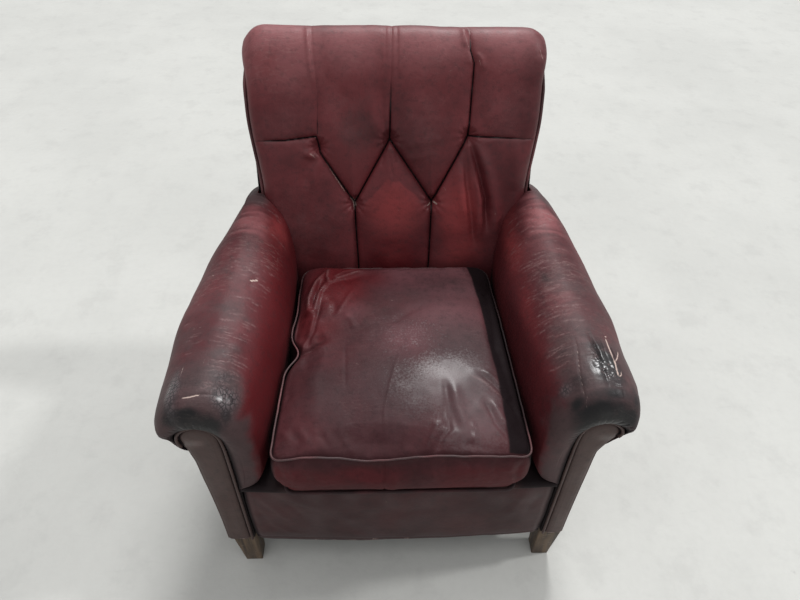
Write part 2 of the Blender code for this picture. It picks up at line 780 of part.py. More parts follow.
def make_arm_facings():
    """A padded board over the front post, and the welt sewn round its inner edge and scroll."""
    low = leg_height + clearance
    y = front_y - welt_radius - clearance
    for word, side in sides:
        edge = facing_scroll(0.0010)
        edge.append(Vector((side_front - 0.0006, roll_seam_z - 0.0035)))
        outline = [Vector((edge[0].x, low))] + edge + [Vector((side_front - 0.0040, low))]
        plate("arm_facing_" + word, [(side * point.x, point.y) for point in outline],
              front_y, front_y + facing_thickness, "Y", leather_brown, 0.5, bevel=0.0022)
        welt = facing_scroll(0.0056)[:-1]
        path = [Vector((welt[0].x, z)) for z in (0.108, 0.170, 0.240)] + welt
        cord("facing_welt_" + word, [(side * point.x, y, point.y) for point in path],
             welt_radius, leather_dark, 0.45)


def make_outside_arms():
    """Leather panels below the arm rolls, from the facings back to the outside back."""
    front = front_y + facing_thickness + clearance
    rear = post_rear[0]
    for word, side in sides:
        outline = [(side * (side_x(front) - skin), front), (side * side_x(front), front),
                   (side * side_x(rear), rear), (side * (side_x(rear) - skin), rear)]
        plate("outside_arm_" + word, outline, leg_height + clearance, roll_seam_z - 0.0005, "Z", leather_brown, 0.5)


# Cushion ----------------------------------------------------------------------------------------

def cushion_outline():
    """Plan of the cushion: a rectangle a little wider in front, with round corners."""
    corners = ((-cushion_half_front, cushion_front), (cushion_half_front, cushion_front),
               (cushion_half_rear, cushion_rear), (-cushion_half_rear, cushion_rear))
    radii = (cushion_corner_front, cushion_corner_front, cushion_corner_rear, cushion_corner_rear)
    path = []
    for number, corner in enumerate(corners):
        corner = Vector(corner)
        before = (Vector(corners[number - 1]) - corner).normalized()
        after = (Vector(corners[(number + 1) % 4]) - corner).normalized()
        start = corner + before * radii[number]
        end = corner + after * radii[number]
        for step in range(7):
            t = step / 6
            path.append(start.lerp(corner, t).lerp(corner.lerp(end, t), t))
    lengths = [(b - a).length for a, b in zip(path, path[1:] + path[:1])]
    total = sum(lengths)
    result = []
    for number in range(cushion_points):
        target = total * number / cushion_points
        index = 0
        while target > lengths[index]:
            target -= lengths[index]
            index += 1
        result.append(path[index].lerp((path + path[:1])[index + 1], target / lengths[index]))
    return result


def cushion_side_dent(point, z):
    """The worn left side, kinked inwards half way back."""
    dent = 0.020 * math.exp(-((point.y + 0.168) / 0.030) ** 2) if point.x < -0.15 else 0.0
    return Vector((dent * smooth_step(z, 0.33, 0.42), 0.0))


def cushion_top(x, y):
    """Height of the cushion's top: a crown, sunk behind the middle, with folds at the rear left."""
    edge = max(abs(x) / 0.22, abs(y + 0.15) / 0.256)
    height = 0.4425 + 0.022 * (1.0 - min(1.0, edge) ** 2.2)
    height -= 0.008 * math.exp(-((x - 0.02) / 0.10) ** 2 - ((y - 0.02) / 0.09) ** 2)
    for start, end, rise in (((-0.190, 0.090), (-0.150, -0.010), 0.010),
                             ((-0.160, 0.085), (-0.095, 0.020), 0.009),
                             ((-0.205, -0.045), (-0.130, -0.020), 0.007)):
        away, _ = distance_to_line(Vector((x, y)), Vector(start), Vector(end))
        height += rise * math.exp(-(away / 0.014) ** 2) - rise * 0.5 * math.exp(-(away / 0.034) ** 2)
    return height


def make_cushion():
    outline = cushion_outline()
    centre = Vector((0.0, (cushion_front + cushion_rear) / 2))
    low = seat_z + clearance
    levels = [(0.30, low), (0.895, low), (0.925, low + 0.004), (0.945, low + 0.014), (0.978, 0.348),
              (1.005, 0.372), (1.015, 0.396), (1.010, 0.416), (0.998, 0.431), (0.955, 0.4425)]
    crown = (0.88, 0.79, 0.70, 0.61, 0.52, 0.43, 0.34, 0.25, 0.16, 0.07)

    def place(column, row):
        scale, z = levels[row] if row < len(levels) else (crown[row - len(levels)], 0.4425)
        point = centre + (outline[column] - centre) * scale
        point += cushion_side_dent(point, z)
        if row >= len(levels):
            z = cushion_top(point.x, point.y)
        elif z > 0.40:
            z += cushion_edge_wave(outline[column])
        return Vector((point.x, point.y, z))

    bm = surface(cushion_points, len(levels) + len(crown) - 1, place, around=True)
    add_object("seat_cushion", mesh_from(bm, "seat_cushion", 60), leather_red, 0.4)
    for name, z, scale in (("cushion_top_welt", 0.4392, 0.990), ("cushion_bottom_welt", low + 0.0036, 0.943)):
        path = []
        for point in outline:
            point = centre + (point - centre) * scale
            shifted = point + cushion_side_dent(point, z)
            wave = cushion_edge_wave(point) if z > 0.4 else 0.0
            path.append((shifted.x, shifted.y, z + wave))
        cord(name, path, welt_radius, leather_dark, 0.4, closed=True)


def cushion_edge_wave(point):
    """The seam of the worn cushion wanders up and down, most along the front."""
    front = 1.0 - smooth_step(point.y, -0.40, -0.34)
    return (0.0035 * math.sin(point.x * 28.0) + 0.002) * front


def main():
    remove_all_objects()
    chair = bpy.data.objects.new("chair", None)
    bpy.context.collection.objects.link(chair)
    make_front_legs()
    make_rear_legs()
    make_seat_rails()
    make_corner_blocks()
    make_arm_rails()
    make_back_rails()
    make_seat_webbing()
    make_seat_springs()
    make_seat_canvas_and_deck()
    make_front_border()
    make_dust_cover()
    make_back_support()
    make_inside_back()
    for word, side in sides:
        make_back_side(word, side)
        make_back_welt(word, side)
    make_outside_back()
    make_arm_pads()
    make_arm_facings()
    make_outside_arms()
    make_cushion()


main()
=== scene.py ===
import math

import bmesh
import bpy
import numpy as np
from mathutils import Matrix, Vector
from mathutils.kdtree import KDTree


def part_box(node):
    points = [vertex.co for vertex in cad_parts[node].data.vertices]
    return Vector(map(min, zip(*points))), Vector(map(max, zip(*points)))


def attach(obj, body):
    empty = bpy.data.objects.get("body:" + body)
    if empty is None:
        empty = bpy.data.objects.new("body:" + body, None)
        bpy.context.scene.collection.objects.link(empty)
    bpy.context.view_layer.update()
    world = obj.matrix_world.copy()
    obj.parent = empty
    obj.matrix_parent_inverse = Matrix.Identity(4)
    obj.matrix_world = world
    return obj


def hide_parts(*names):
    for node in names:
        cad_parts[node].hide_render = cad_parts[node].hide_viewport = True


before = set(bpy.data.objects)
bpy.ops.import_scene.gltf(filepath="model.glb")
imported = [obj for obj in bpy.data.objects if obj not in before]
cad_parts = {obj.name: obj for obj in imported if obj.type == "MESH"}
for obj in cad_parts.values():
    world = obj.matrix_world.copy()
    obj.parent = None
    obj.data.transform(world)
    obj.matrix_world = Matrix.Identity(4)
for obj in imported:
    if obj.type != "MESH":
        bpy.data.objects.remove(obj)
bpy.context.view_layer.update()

print("frame loaded:", len(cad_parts), "nodes")

sides = (("left", -1.0), ("right", 1.0))
clearance = 0.0003
seatLevel = 0.3103    # where the arms, the back and the cushion start, just over the rails


# Shapes as numbers: ramps, curves, noise and strokes, all worked out on whole arrays of points

def easeStep(value, start, end):
    t = np.clip((value - start) / (end - start), 0.0, 1.0)
    return t * t * (3.0 - 2.0 * t)


# How far along a line each of its points lies
def lengthsAlong(points):
    return np.concatenate([[0.0], np.cumsum(np.linalg.norm(np.diff(points, axis=0), axis=1))])


# The places on a line at these distances along it
def placesAlong(points, lengths, target):
    return np.stack([np.interp(target, lengths, part) for part in points.T], 1)


# A smooth curve through the points, spread evenly over its length
def curveThrough(points, count):
    knots = np.array(points, float)
    knots = np.vstack([2 * knots[:1] - knots[1:2], knots, 2 * knots[-1:] - knots[-2:-1]])
    t = np.arange(24)[:, None] / 24.0
    fine = []
    for a, b, c, d in zip(knots, knots[1:], knots[2:], knots[3:]):
        fine.append(0.5 * (2 * b + (c - a) * t + (2 * a - 5 * b + 4 * c - d) * t ** 2
                           + (3 * b - a - 3 * c + d) * t ** 3))
    fine = np.vstack(fine + [knots[-2:-1]])
    lengths = lengthsAlong(fine)
    return placesAlong(fine, lengths, np.linspace(0.0, lengths[-1], count))


# The height of a smooth curve through these points, at each value
def rampThrough(value, steps):
    return np.interp(value, *curveThrough(steps, 160).T)


# Smooth noise from -1 to 1 with bumps of this size, in metres.
def softNoise(points, size, seed=0):
    place = points / np.array(size) + seed * 3.71
    cell = np.floor(place).astype(np.int64)
    part = place - cell
    part = part * part * (3.0 - 2.0 * part)
    total = np.zeros(len(points))
    for corner in np.ndindex(*(2,) * points.shape[1]):
        key = np.zeros(len(points), np.int64)
        share = np.ones(len(points))
        for axis, prime in zip(range(points.shape[1]), (73856093, 19349663, 83492791)):
            key ^= (cell[:, axis] + corner[axis]) * prime
            share *= part[:, axis] if corner[axis] else 1.0 - part[:, axis]
        key = (key ^ (key >> 13)) * 1274126177
        total += (((key ^ (key >> 16)) & 0xFFFF) / 32767.5 - 1.0) * share
    return total


# Distance from each point to a line of points, how far along it falls, and on which side.
def nearLine(flat, points):
    best = np.full(len(flat), 9.0)
    along = np.zeros(len(flat))
    side = np.zeros(len(flat))
    knots = np.array(points, float)
    for number, (start, end) in enumerate(zip(knots, knots[1:])):
        run = end - start
        t = np.clip((flat - start) @ run / (run @ run), 0.0, 1.0)
        gap = flat - start - t[:, None] * run
        away = np.linalg.norm(gap, axis=1)
        closer = away < best
        best = np.where(closer, away, best)
        along = np.where(closer, (number + t) / (len(knots) - 1), along)
        side = np.where(closer, np.sign(run[0] * gap[:, 1] - run[1] * gap[:, 0]), side)
    return best, along, side


# Soft ridges or grooves: each is (points, width, amount), tapered at both ends.
def strokes(flat, lines):
    total = np.zeros(len(flat))
    for points, width, amount in lines:
        low = np.min(points, axis=0) - 3.0 * width
        high = np.max(points, axis=0) + 3.0 * width
        near = np.all((flat > low) & (flat < high), axis=1)
        if near.any():
            away, along, _ = nearLine(flat[near], points)
            taper = np.minimum(1.0, 4.0 * np.minimum(along, 1.0 - along) + 0.15)
            total[near] += amount * taper * np.exp(-(away / width) ** 2)
    return total


# Soft round patches: each is (centre, sizes, amount). The strongest one counts.
def blobs(points, spots):
    total = np.zeros(len(points))
    for centre, sizes, amount in spots:
        away = (points - np.array(centre)) / np.array(sizes)
        total = np.maximum(total, amount * np.exp(-np.sum(away ** 2, axis=1)))
    return total


# Meshes

def readPoints(mesh):
    points = np.zeros(len(mesh.vertices) * 3)
    mesh.vertices.foreach_get("co", points)
    return points.reshape(-1, 3)


def writePoints(mesh, points):
    mesh.vertices.foreach_set("co", np.asarray(points, float).ravel())
    mesh.update()


def readNormals(mesh):
    normals = np.zeros(len(mesh.vertices) * 3)
    mesh.vertices.foreach_get("normal", normals)
    return normals.reshape(-1, 3)


def setMask(mesh, name, values):
    layer = mesh.attributes.get(name) or mesh.attributes.new(name, "FLOAT", "POINT")
    layer.data.foreach_set("value", np.clip(values, 0.0, 1.0).astype(np.float32))


# Several masks at once
def paint(mesh, **masks):
    for name, values in masks.items():
        setMask(mesh, name, values)


def getMask(mesh, name):
    values = np.zeros(len(mesh.vertices), np.float32)
    mesh.attributes[name].data.foreach_get("value", values)
    return values.astype(float)


def smoothShade(mesh, angle=None):
    mesh.shade_smooth()
    if angle:
        mesh.set_sharp_from_angle(angle=math.radians(angle))


# A new object in the scene that shows this data.
def placed(name, data):
    thing = bpy.data.objects.new(name, data)
    bpy.context.scene.collection.objects.link(thing)
    return thing


# The mesh of a helper object as its modifiers leave it. The helper goes.
def meshTaken(holder):
    mesh = bpy.data.meshes.new_from_object(holder.evaluated_get(bpy.context.evaluated_depsgraph_get()))
    bpy.data.objects.remove(holder, do_unlink=True)
    return mesh


def opened(mesh):
    bm = bmesh.new()
    bm.from_mesh(mesh)
    return bm


def stored(bm, mesh):
    bm.to_mesh(mesh)
    bm.free()
    return mesh


def addPiece(name, mesh, material, replaced):
    piece = placed(name, mesh)
    mesh.materials.clear()
    mesh.materials.append(material)
    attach(piece, "root")
    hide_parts(*replaced)
    return piece


# A grid bent by place(column, row). A tube closes round its columns and its ends are filled.
def bentGrid(name, columns, rows, place, tube=True, angle=None):
    bm = bmesh.new()
    bmesh.ops.create_grid(bm, x_segments=columns, y_segments=rows, size=0.5)
    mesh = stored(bm, bpy.data.meshes.new(name))
    flat = readPoints(mesh)
    column = np.rint((flat[:, 0] + 0.5) * columns).astype(int)
    row = np.rint((flat[:, 1] + 0.5) * rows).astype(int)
    writePoints(mesh, place(column % columns if tube else column, row))
    paint(mesh, across=column / columns, along=row / rows)
    if tube:
        closeUp(mesh)
    smoothShade(mesh, angle)
    return mesh


def closeUp(mesh):
    bm = opened(mesh)
    bmesh.ops.remove_doubles(bm, verts=bm.verts, dist=0.00001)
    bmesh.ops.holes_fill(bm, edges=[edge for edge in bm.edges if edge.is_boundary])
    bmesh.ops.recalc_face_normals(bm, faces=bm.faces)
    stored(bm, mesh)


# A round cord along the points.
def cordMesh(name, points, radius, closed=False):
    curve = bpy.data.curves.new(name, "CURVE")
    curve.dimensions = "3D"
    curve.bevel_depth = radius
    curve.bevel_resolution = 3
    curve.use_fill_caps = not closed
    spline = curve.splines.new("POLY")
    spline.points.add(len(points) - 1)
    spline.use_cyclic_u = closed
    for knot, point in zip(spline.points, points):
        knot.co = (*point, 1.0)
    mesh = meshTaken(placed(name, curve))
    smoothShade(mesh, 60)
    return mesh


# A merged copy of a CAD node's mesh.
def nodeCopy(node):
    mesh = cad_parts[node].data.copy()
    bm = opened(mesh)
    bmesh.ops.remove_doubles(bm, verts=bm.verts, dist=0.00002)
    return stored(bm, mesh)


# The mesh with one modifier applied.
def applied(mesh, kind, **settings):
    holder = placed("shaping", mesh)
    modifier = holder.modifiers.new("shaping", kind)
    for key, value in settings.items():
        setattr(modifier, key, value)
    return meshTaken(holder)


# The mesh less the cutter's space.
def cutBy(mesh, cutter):
    blade = placed("cutBlade", cutter)
    result = applied(mesh, "BOOLEAN", object=blade, operation="DIFFERENCE", solver="EXACT")
    bpy.data.objects.remove(blade, do_unlink=True)
    return result


# Shader nodes

class Wire:
    def __init__(self, board, socket):
        self.board = board
        self.socket = socket

    def __add__(self, other):
        return self.board.maths("ADD", self, other)

    def __sub__(self, other):
        return self.board.maths("SUBTRACT", self, other)

    def __rsub__(self, other):
        return self.board.maths("SUBTRACT", other, self)

    def __mul__(self, other):
        return self.board.maths("MULTIPLY", self, other)

    __radd__ = __add__
    __rmul__ = __mul__


class Board:
    def __init__(self, name):
        self.material = bpy.data.materials.new(name)
        self.material.use_nodes = True
        self.tree = self.material.node_tree
        self.shader = self.tree.nodes["Principled BSDF"]

    def join(self, entry, value):
        if isinstance(value, Wire):
            self.tree.links.new(value.socket, entry)
        else:
            entry.default_value = value

    def node(self, kind, settings=None, sockets=None, output=0):
        made = self.tree.nodes.new("ShaderNode" + kind)
        for key, value in (settings or {}).items():
            setattr(made, key, value)
        for key, value in (sockets or {}).items():
            self.join(made.inputs[key], value)
        return Wire(self, made.outputs[output])

    def maths(self, operation, first, second):
        return self.node("Math", {"operation": operation}, {0: first, 1: second})

    def place(self):
        return self.node("TexCoord", output="Object")

    def mask(self, name):
        return self.node("Attribute", {"attribute_name": name}, output="Fac")

    def stretch(self, place, scale):
        return self.node("VectorMath", {"operation": "MULTIPLY"}, {0: place, 1: scale})

    def noise(self, place, scale, detail=3.0, roughness=0.5, distortion=0.0):
        return self.node("TexNoise", None, {"Vector": place, "Scale": scale, "Detail": detail,
                                            "Roughness": roughness, "Distortion": distortion})

    def cells(self, place, scale, feature="F1"):
        return self.node("TexVoronoi", {"feature": feature}, {"Vector": place, "Scale": scale}, "Distance")

    def between(self, value, low, high):
        return self.node("MapRange", {"interpolation_type": "SMOOTHSTEP"},
                         {"Value": value, "From Min": low, "From Max": high})

    def blend(self, share, first, second):
        return self.node("Mix", {"data_type": "RGBA"}, {0: share, 6: first, 7: second}, 2)

    def finish(self, colour, roughness, height=None, **constants):
        self.join(self.shader.inputs["Base Color"], colour)
        self.join(self.shader.inputs["Roughness"], roughness)
        if height is not None:
            bump = self.node("Bump", None, {"Height": height, "Strength": 1.0, "Distance": 1.0})
            self.join(self.shader.inputs["Normal"], bump)
        for key, value in constants.items():
            self.shader.inputs[key.replace("_", " ")].default_value = value
        return self.material


def rgb(red, green, blue):
    return (red, green, blue, 1.0)


# Leather: one builder, with a look for each part of the chair

leatherLook = {
    "deep": rgb(0.078, 0.015, 0.018),      # unworn dye in the hollows
    "mid": rgb(0.142, 0.027, 0.031),       # the body colour
    "haze": rgb(0.24, 0.078, 0.084),       # dusty bloom where the finish has dulled, and painted sheen and highlights
    "fresh": rgb(0.088, 0.006, 0.009),     # saturated red where nothing has rubbed
    "bright": rgb(0.262, 0.04, 0.042),     # bright red left in the sheltered panels, and a painted patch of light on the back's lower middle panel
    "rubbed": rgb(0.062, 0.038, 0.039),    # finish rubbed through to grey brown
    "black": rgb(0.013, 0.012, 0.013),     # greasy charcoal on the arm fronts, and painted shadow on the cushion's right side
    "cell": rgb(0.085, 0.066, 0.07),       # lifted scales between the cracks
    "scuff": rgb(0.25, 0.15, 0.148),       # light scuffs along fine creases
    "pale": rgb(0.46, 0.35, 0.31),         # bare fibres in cracks, scratches and tears
    "grime": rgb(0.007, 0.003, 0.004),     # dirt in the seams, and painted shade in the pleats and in gaps between parts
    "roughness": 0.5,
    "shine": 0.28,
    "gloss": 0.8,
    "sparkle": 0.3,
    "soil": 0.34,
    "coatRoughness": 0.27,
    "creaseScale": (26.0, 150.0, 26.0),    # fine worn creases run across the arms
    "creaseLight": 0.2,
    "grainHeight": 0.00008,
    "waveHeight": 0.0012,
    "crackHeight": 0.00045,
}


def makeLeather(name, **changes):
    look = {**leatherLook, **changes}
    board = Board(name)
    place = board.place()
    clouds = board.noise(place, 5.5, 5.0, 0.62)
    mottle = board.noise(place, 38.0, 4.0, 0.6)
    fine = board.noise(place, 260.0, 2.0, 0.5)
    grain = board.cells(place, 620.0, "SMOOTH_F1")
    pebble = board.cells(place, 240.0, "SMOOTH_F1")
    crackle = board.cells(board.stretch(place, (1.0, 0.8, 1.0)), 160.0, "DISTANCE_TO_EDGE")
    streak = board.noise(board.stretch(place, look["creaseScale"]), 1.0, 3.0, 0.55, 0.4)

    rubbed = board.mask("rubbed")
    black = board.mask("blackened")
    fresh = board.mask("fresh")
    pale = board.mask("pale")
    grime = board.mask("grime")
    seam = board.between(board.mask("seam"), 0.76, 0.9)
    creased = board.mask("creased")
    haze = board.mask("haze")
    crackled = board.mask("crackled")
    polished = board.mask("polished")
    scuffed = board.mask("scuffed")

    colour = board.blend(board.between(clouds, 0.35, 0.66), look["deep"], look["mid"])
    colour = board.blend(board.between(haze + (mottle - 0.5) * 0.5, 0.05, 1.0) * 0.85, colour, look["haze"])
    colour = board.blend(board.between(fresh + (mottle - 0.5) * 0.25, 0.05, 0.95) * 0.9, colour,
                         look["fresh"])
    colour = board.blend(board.between(board.mask("bright") + (mottle - 0.5) * 0.3, 0.1, 0.95), colour,
                         look["bright"])
    worn = board.between(rubbed + (mottle - 0.5) * 0.55 + (fine - 0.5) * 0.25, 0.12, 0.9)
    colour = board.blend(worn * 0.92, colour, look["rubbed"])
    burnt = board.between(black + (mottle - 0.5) * 0.45, 0.15, 0.85)
    colour = board.blend(burnt, colour, look["black"])
    ridge = 1.0 - board.between(board.maths("ABSOLUTE", streak - 0.5, 0.0), 0.0, 0.035)
    colour = board.blend(ridge * creased * look["creaseLight"], colour, look["pale"])
    scuffs = board.between(board.noise(board.stretch(place, (60.0, 60.0, 190.0)), 1.0, 4.0, 0.7), 0.7, 0.8)
    colour = board.blend(scuffs * 0.12, colour, look["pale"])
    soil = board.between(board.noise(place, 75.0, 7.0, 0.74), 0.46, 0.72)
    colour = board.blend(soil * look["soil"], colour, look["black"])
    speck = (1.0 - board.between(board.cells(place, 52.0), 0.03, 0.055)) * board.between(mottle, 0.6, 0.64)
    colour = board.blend(speck * 0.5, colour, look["pale"])
    colour = board.blend(scuffed * board.between(fine, 0.25, 0.6) * 0.75, colour, look["scuff"])
    cracks = (1.0 - board.between(crackle, 0.02, 0.22)) * (crackled + burnt * 0.1)
    colour = board.blend(crackled * 0.7, colour, look["cell"])
    colour = board.blend(cracks * 0.9, colour, look["grime"])
    colour = board.blend(board.between(pale + (fine - 0.5) * 0.5, 0.25, 0.75), colour, look["pale"])
    colour = board.blend(grime, colour, look["grime"])
    colour = board.blend(seam * 0.95, colour, look["grime"])

    roughness = (look["roughness"] + (mottle - 0.5) * 0.22 + grime * 0.3 - burnt * 0.06 + haze * 0.05
                 - polished * 0.14 - crackled * 0.14)
    gloss = board.between(polished + (mottle - 0.5) * 0.5 + (fine - 0.5) * look["sparkle"], 0.15, 0.95)
    board.join(board.shader.inputs["Coat Weight"], gloss * look["gloss"])
    height = (grain * look["grainHeight"] + pebble * look["grainHeight"] * 1.1
              - cracks * look["crackHeight"] - ridge * creased * 0.00018
              + (mottle - 0.5) * look["waveHeight"] * 0.45 + (fine - 0.5) * 0.00012)
    return board.finish(colour, roughness, height, Specular_IOR_Level=look["shine"],
                        Coat_Roughness=look["coatRoughness"])


def makeWood(name, light, dark):
    board = Board(name)
    place = board.place()
    grain = board.noise(board.stretch(place, (110.0, 110.0, 7.0)), 1.0, 5.0, 0.6, 0.6)
    blotch = board.noise(place, 14.0, 4.0, 0.6)
    scratch = board.between(board.noise(board.stretch(place, (40.0, 40.0, 210.0)), 1.0, 2.0), 0.66, 0.72)
    colour = board.blend(board.between(grain, 0.35, 0.68), dark, light)
    colour = board.blend(board.between(blotch, 0.48, 0.7) * 0.65, colour, dark)
    colour = board.blend(scratch * 0.25, colour, rgb(0.45, 0.36, 0.27))
    return board.finish(colour, 0.5 + (grain - 0.5) * 0.3, (grain - 0.5) * 0.0005, Specular_IOR_Level=0.35)


def makeCloth(name, light, dark, pitch):
    board = Board(name)
    place = board.place()
    turns = 2.0 * math.pi / pitch
    axes = board.node("SeparateXYZ", None, {0: place}, 0).socket.node
    x, y = (Wire(board, axes.outputs[number]) for number in (0, 1))
    warp = board.maths("SINE", x * turns, 0.0)
    weft = board.maths("SINE", y * turns, 0.0)
    weave = warp * weft * 0.5 + 0.5
    slub = board.noise(board.stretch(place, (30.0, 240.0, 30.0)), 1.0, 3.0)
    colour = board.blend(weave * 0.6 + (slub - 0.3) * 0.6, dark, light)
    return board.finish(colour, 0.9, weave * 0.0003, Specular_IOR_Level=0.2)


def makeSteel(name):
    board = Board(name)
    stain = board.noise(board.place(), 60.0, 4.0)
    colour = board.blend(board.between(stain, 0.45, 0.7), rgb(0.34, 0.32, 0.3), rgb(0.16, 0.11, 0.08))
    return board.finish(colour, 0.35 + stain * 0.3, None, Metallic=0.85)


backLeather = makeLeather("backLeather")
cushionLeather = makeLeather("cushionLeather", deep=rgb(0.038, 0.011, 0.013), mid=rgb(0.066, 0.018, 0.021),
                             haze=rgb(0.135, 0.052, 0.06), fresh=rgb(0.11, 0.01, 0.013),
                             rubbed=rgb(0.044, 0.024, 0.026), black=rgb(0.011, 0.004, 0.005),
                             creaseLight=0.08, waveHeight=0.0022, roughness=0.6, shine=0.14, gloss=0.48,
                             coatRoughness=0.36, sparkle=1.1)
armLeather = makeLeather("armLeather", deep=rgb(0.062, 0.014, 0.017), mid=rgb(0.105, 0.025, 0.029),
                         fresh=rgb(0.08, 0.0045, 0.0065),
                         roughness=0.56, grainHeight=0.00014, shine=0.22)
darkLeather = makeLeather("darkLeather", deep=rgb(0.032, 0.011, 0.01), mid=rgb(0.058, 0.02, 0.018),
                          haze=rgb(0.15, 0.092, 0.086), rubbed=rgb(0.074, 0.046, 0.041))
borderLeather = makeLeather("borderLeather", deep=rgb(0.034, 0.01, 0.011), mid=rgb(0.06, 0.018, 0.019),
                            haze=rgb(0.13, 0.066, 0.064), waveHeight=0.0014)
weltLeather = makeLeather("weltLeather", deep=rgb(0.05, 0.018, 0.02), mid=rgb(0.1, 0.042, 0.043),
                          waveHeight=0.0006)
legWood = makeWood("legWood", rgb(0.15, 0.1, 0.062), rgb(0.045, 0.03, 0.021))
frameWood = makeWood("frameWood", rgb(0.4, 0.27, 0.15), rgb(0.22, 0.13, 0.07))
juteCloth = makeCloth("juteCloth", rgb(0.46, 0.36, 0.22), rgb(0.25, 0.18, 0.1), 0.004)
canvasCloth = makeCloth("canvasCloth", rgb(0.52, 0.44, 0.32), rgb(0.36, 0.29, 0.2), 0.0024)
bottomCloth = makeCloth("bottomCloth", rgb(0.06, 0.055, 0.05), rgb(0.025, 0.023, 0.022), 0.0016)
springSteel = makeSteel("springSteel")
print("materials made")


# The timber frame and the springing keep their solids and get their finishes

def finishFrame():
    finishes = {"rail": frameWood, "block": frameWood, "rear_leg": legWood, "spring_": springSteel,
                "strap": juteCloth, "canvas": canvasCloth, "dust_cover": bottomCloth}
    for name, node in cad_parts.items():
        for word, material in finishes.items():
            if word in name:
                node.data.materials.clear()
                node.data.materials.append(material)


legLook = {"round": 0.0022, "wornDepth": 0.0016}


def makeLegs():
    for word, side in sides:
        name = "front_leg_" + word
        mesh = nodeCopy(name)
        bm = opened(mesh)
        bmesh.ops.dissolve_limit(bm, angle_limit=math.radians(2), verts=bm.verts, edges=bm.edges)
        sharp = [edge for edge in bm.edges if edge.calc_face_angle(0.0) > math.radians(40)]
        bmesh.ops.bevel(bm, geom=sharp, offset=legLook["round"], segments=2, profile=0.5, affect="EDGES",
                        material=-1)
        bmesh.ops.triangulate(bm, faces=bm.faces)
        bmesh.ops.subdivide_edges(bm, edges=bm.edges, cuts=3)
        points = readPoints(stored(bm, mesh))
        foot = easeStep(-points[:, 2], -0.104, -0.096) * easeStep(points[:, 2], 0.0005, 0.004)
        dents = softNoise(points, 0.016, 3) * 0.5 + softNoise(points, 0.006, 4) * 0.3 - 0.4
        points += readNormals(mesh) * (dents * legLook["wornDepth"] * foot * 0.35)[:, None]
        x, y, z = points.T
        covered = sideX(word, y, z) - armLook["skin"] - 0.0006
        # the post stays under the leather
        points[:, 0] = np.where(z > 0.11, side * np.minimum(side * x, covered), x)
        writePoints(mesh, points)
        smoothShade(mesh, 35)
        addPiece("frontLeg" + word.title(), mesh, legWood, [name])


finishFrame()
print("frame finished")


# The inside back: one stuffed cover, pulled in at five tufts and pleated between them

backLook = {
    "columns": 336, "rows": 370, "innerColumns": 6,
    "half": 0.308, "halfLow": 0.2835, "round": 0.032, "flareFrom": 0.5, "flare": 0.0225,
    "profile": ((0.114, seatLevel), (0.116, 0.35), (0.122, 0.42), (0.14, 0.485), (0.163, 0.55),
                (0.203, 0.66), (0.245, 0.765), (0.27, 0.822), (0.296, 0.86), (0.33, 0.8815),
                (0.366, 0.88), (0.394, 0.861), (0.408, 0.838), (0.41, 0.815)),
    "inner": ((0.22, 0.31), (0.3335, 0.835), (0.393, 0.8356), (0.393, 0.815)),
    "upperTufts": ((-0.164, 0.68), (-0.012, 0.694), (0.156, 0.701)),
    "lowerTufts": ((-0.091, 0.563), (0.082, 0.565)),
}


def flareAt(z):
    return backLook["flare"] * (z - backLook["flareFrom"])


# The front edges draw in above the arms, and the leather bulges over the welts at the top
def drawIn(z):
    return (0.0165 * (1.0 - easeStep(z, 0.575, 0.745)) * easeStep(z, 0.47, 0.5)
            - 0.0075 * easeStep(z, 0.79, 0.845))


def roundingAt(y):
    return backLook["round"] * (1.0 - 0.65 * easeStep(y, 0.33, 0.4))


def edgeDrop(x, y):
    limit = backLook["round"]
    over = np.clip(np.abs(x) - (backLook["half"] - limit), 0.0, limit)
    return (1.0 - np.sqrt(1.0 - (over / limit) ** 2)) * roundingAt(y)


# How far the top corners have slumped
def cornerDrop(z, x):
    return easeStep(z, 0.78, 0.87) * np.where(x < 0.0, 0.016, 0.009)


# Points of the back's face from the seat over the top, their outward normals, and the height up the face
def backFace(count):
    points = curveThrough(backLook["profile"], count)
    run = np.gradient(points, axis=0)
    run /= np.linalg.norm(run, axis=1)[:, None]
    normals = np.stack([-run[:, 1], run[:, 0]], 1)
    steps = np.linalg.norm(np.diff(points, axis=0), axis=1)
    climb = np.diff(points[:, 1])
    rise = np.where((points[1:, 1] < 0.8) & (climb > 0), climb, steps)
    return points, normals, points[0, 1] + np.concatenate([[0.0], np.cumsum(rise)])


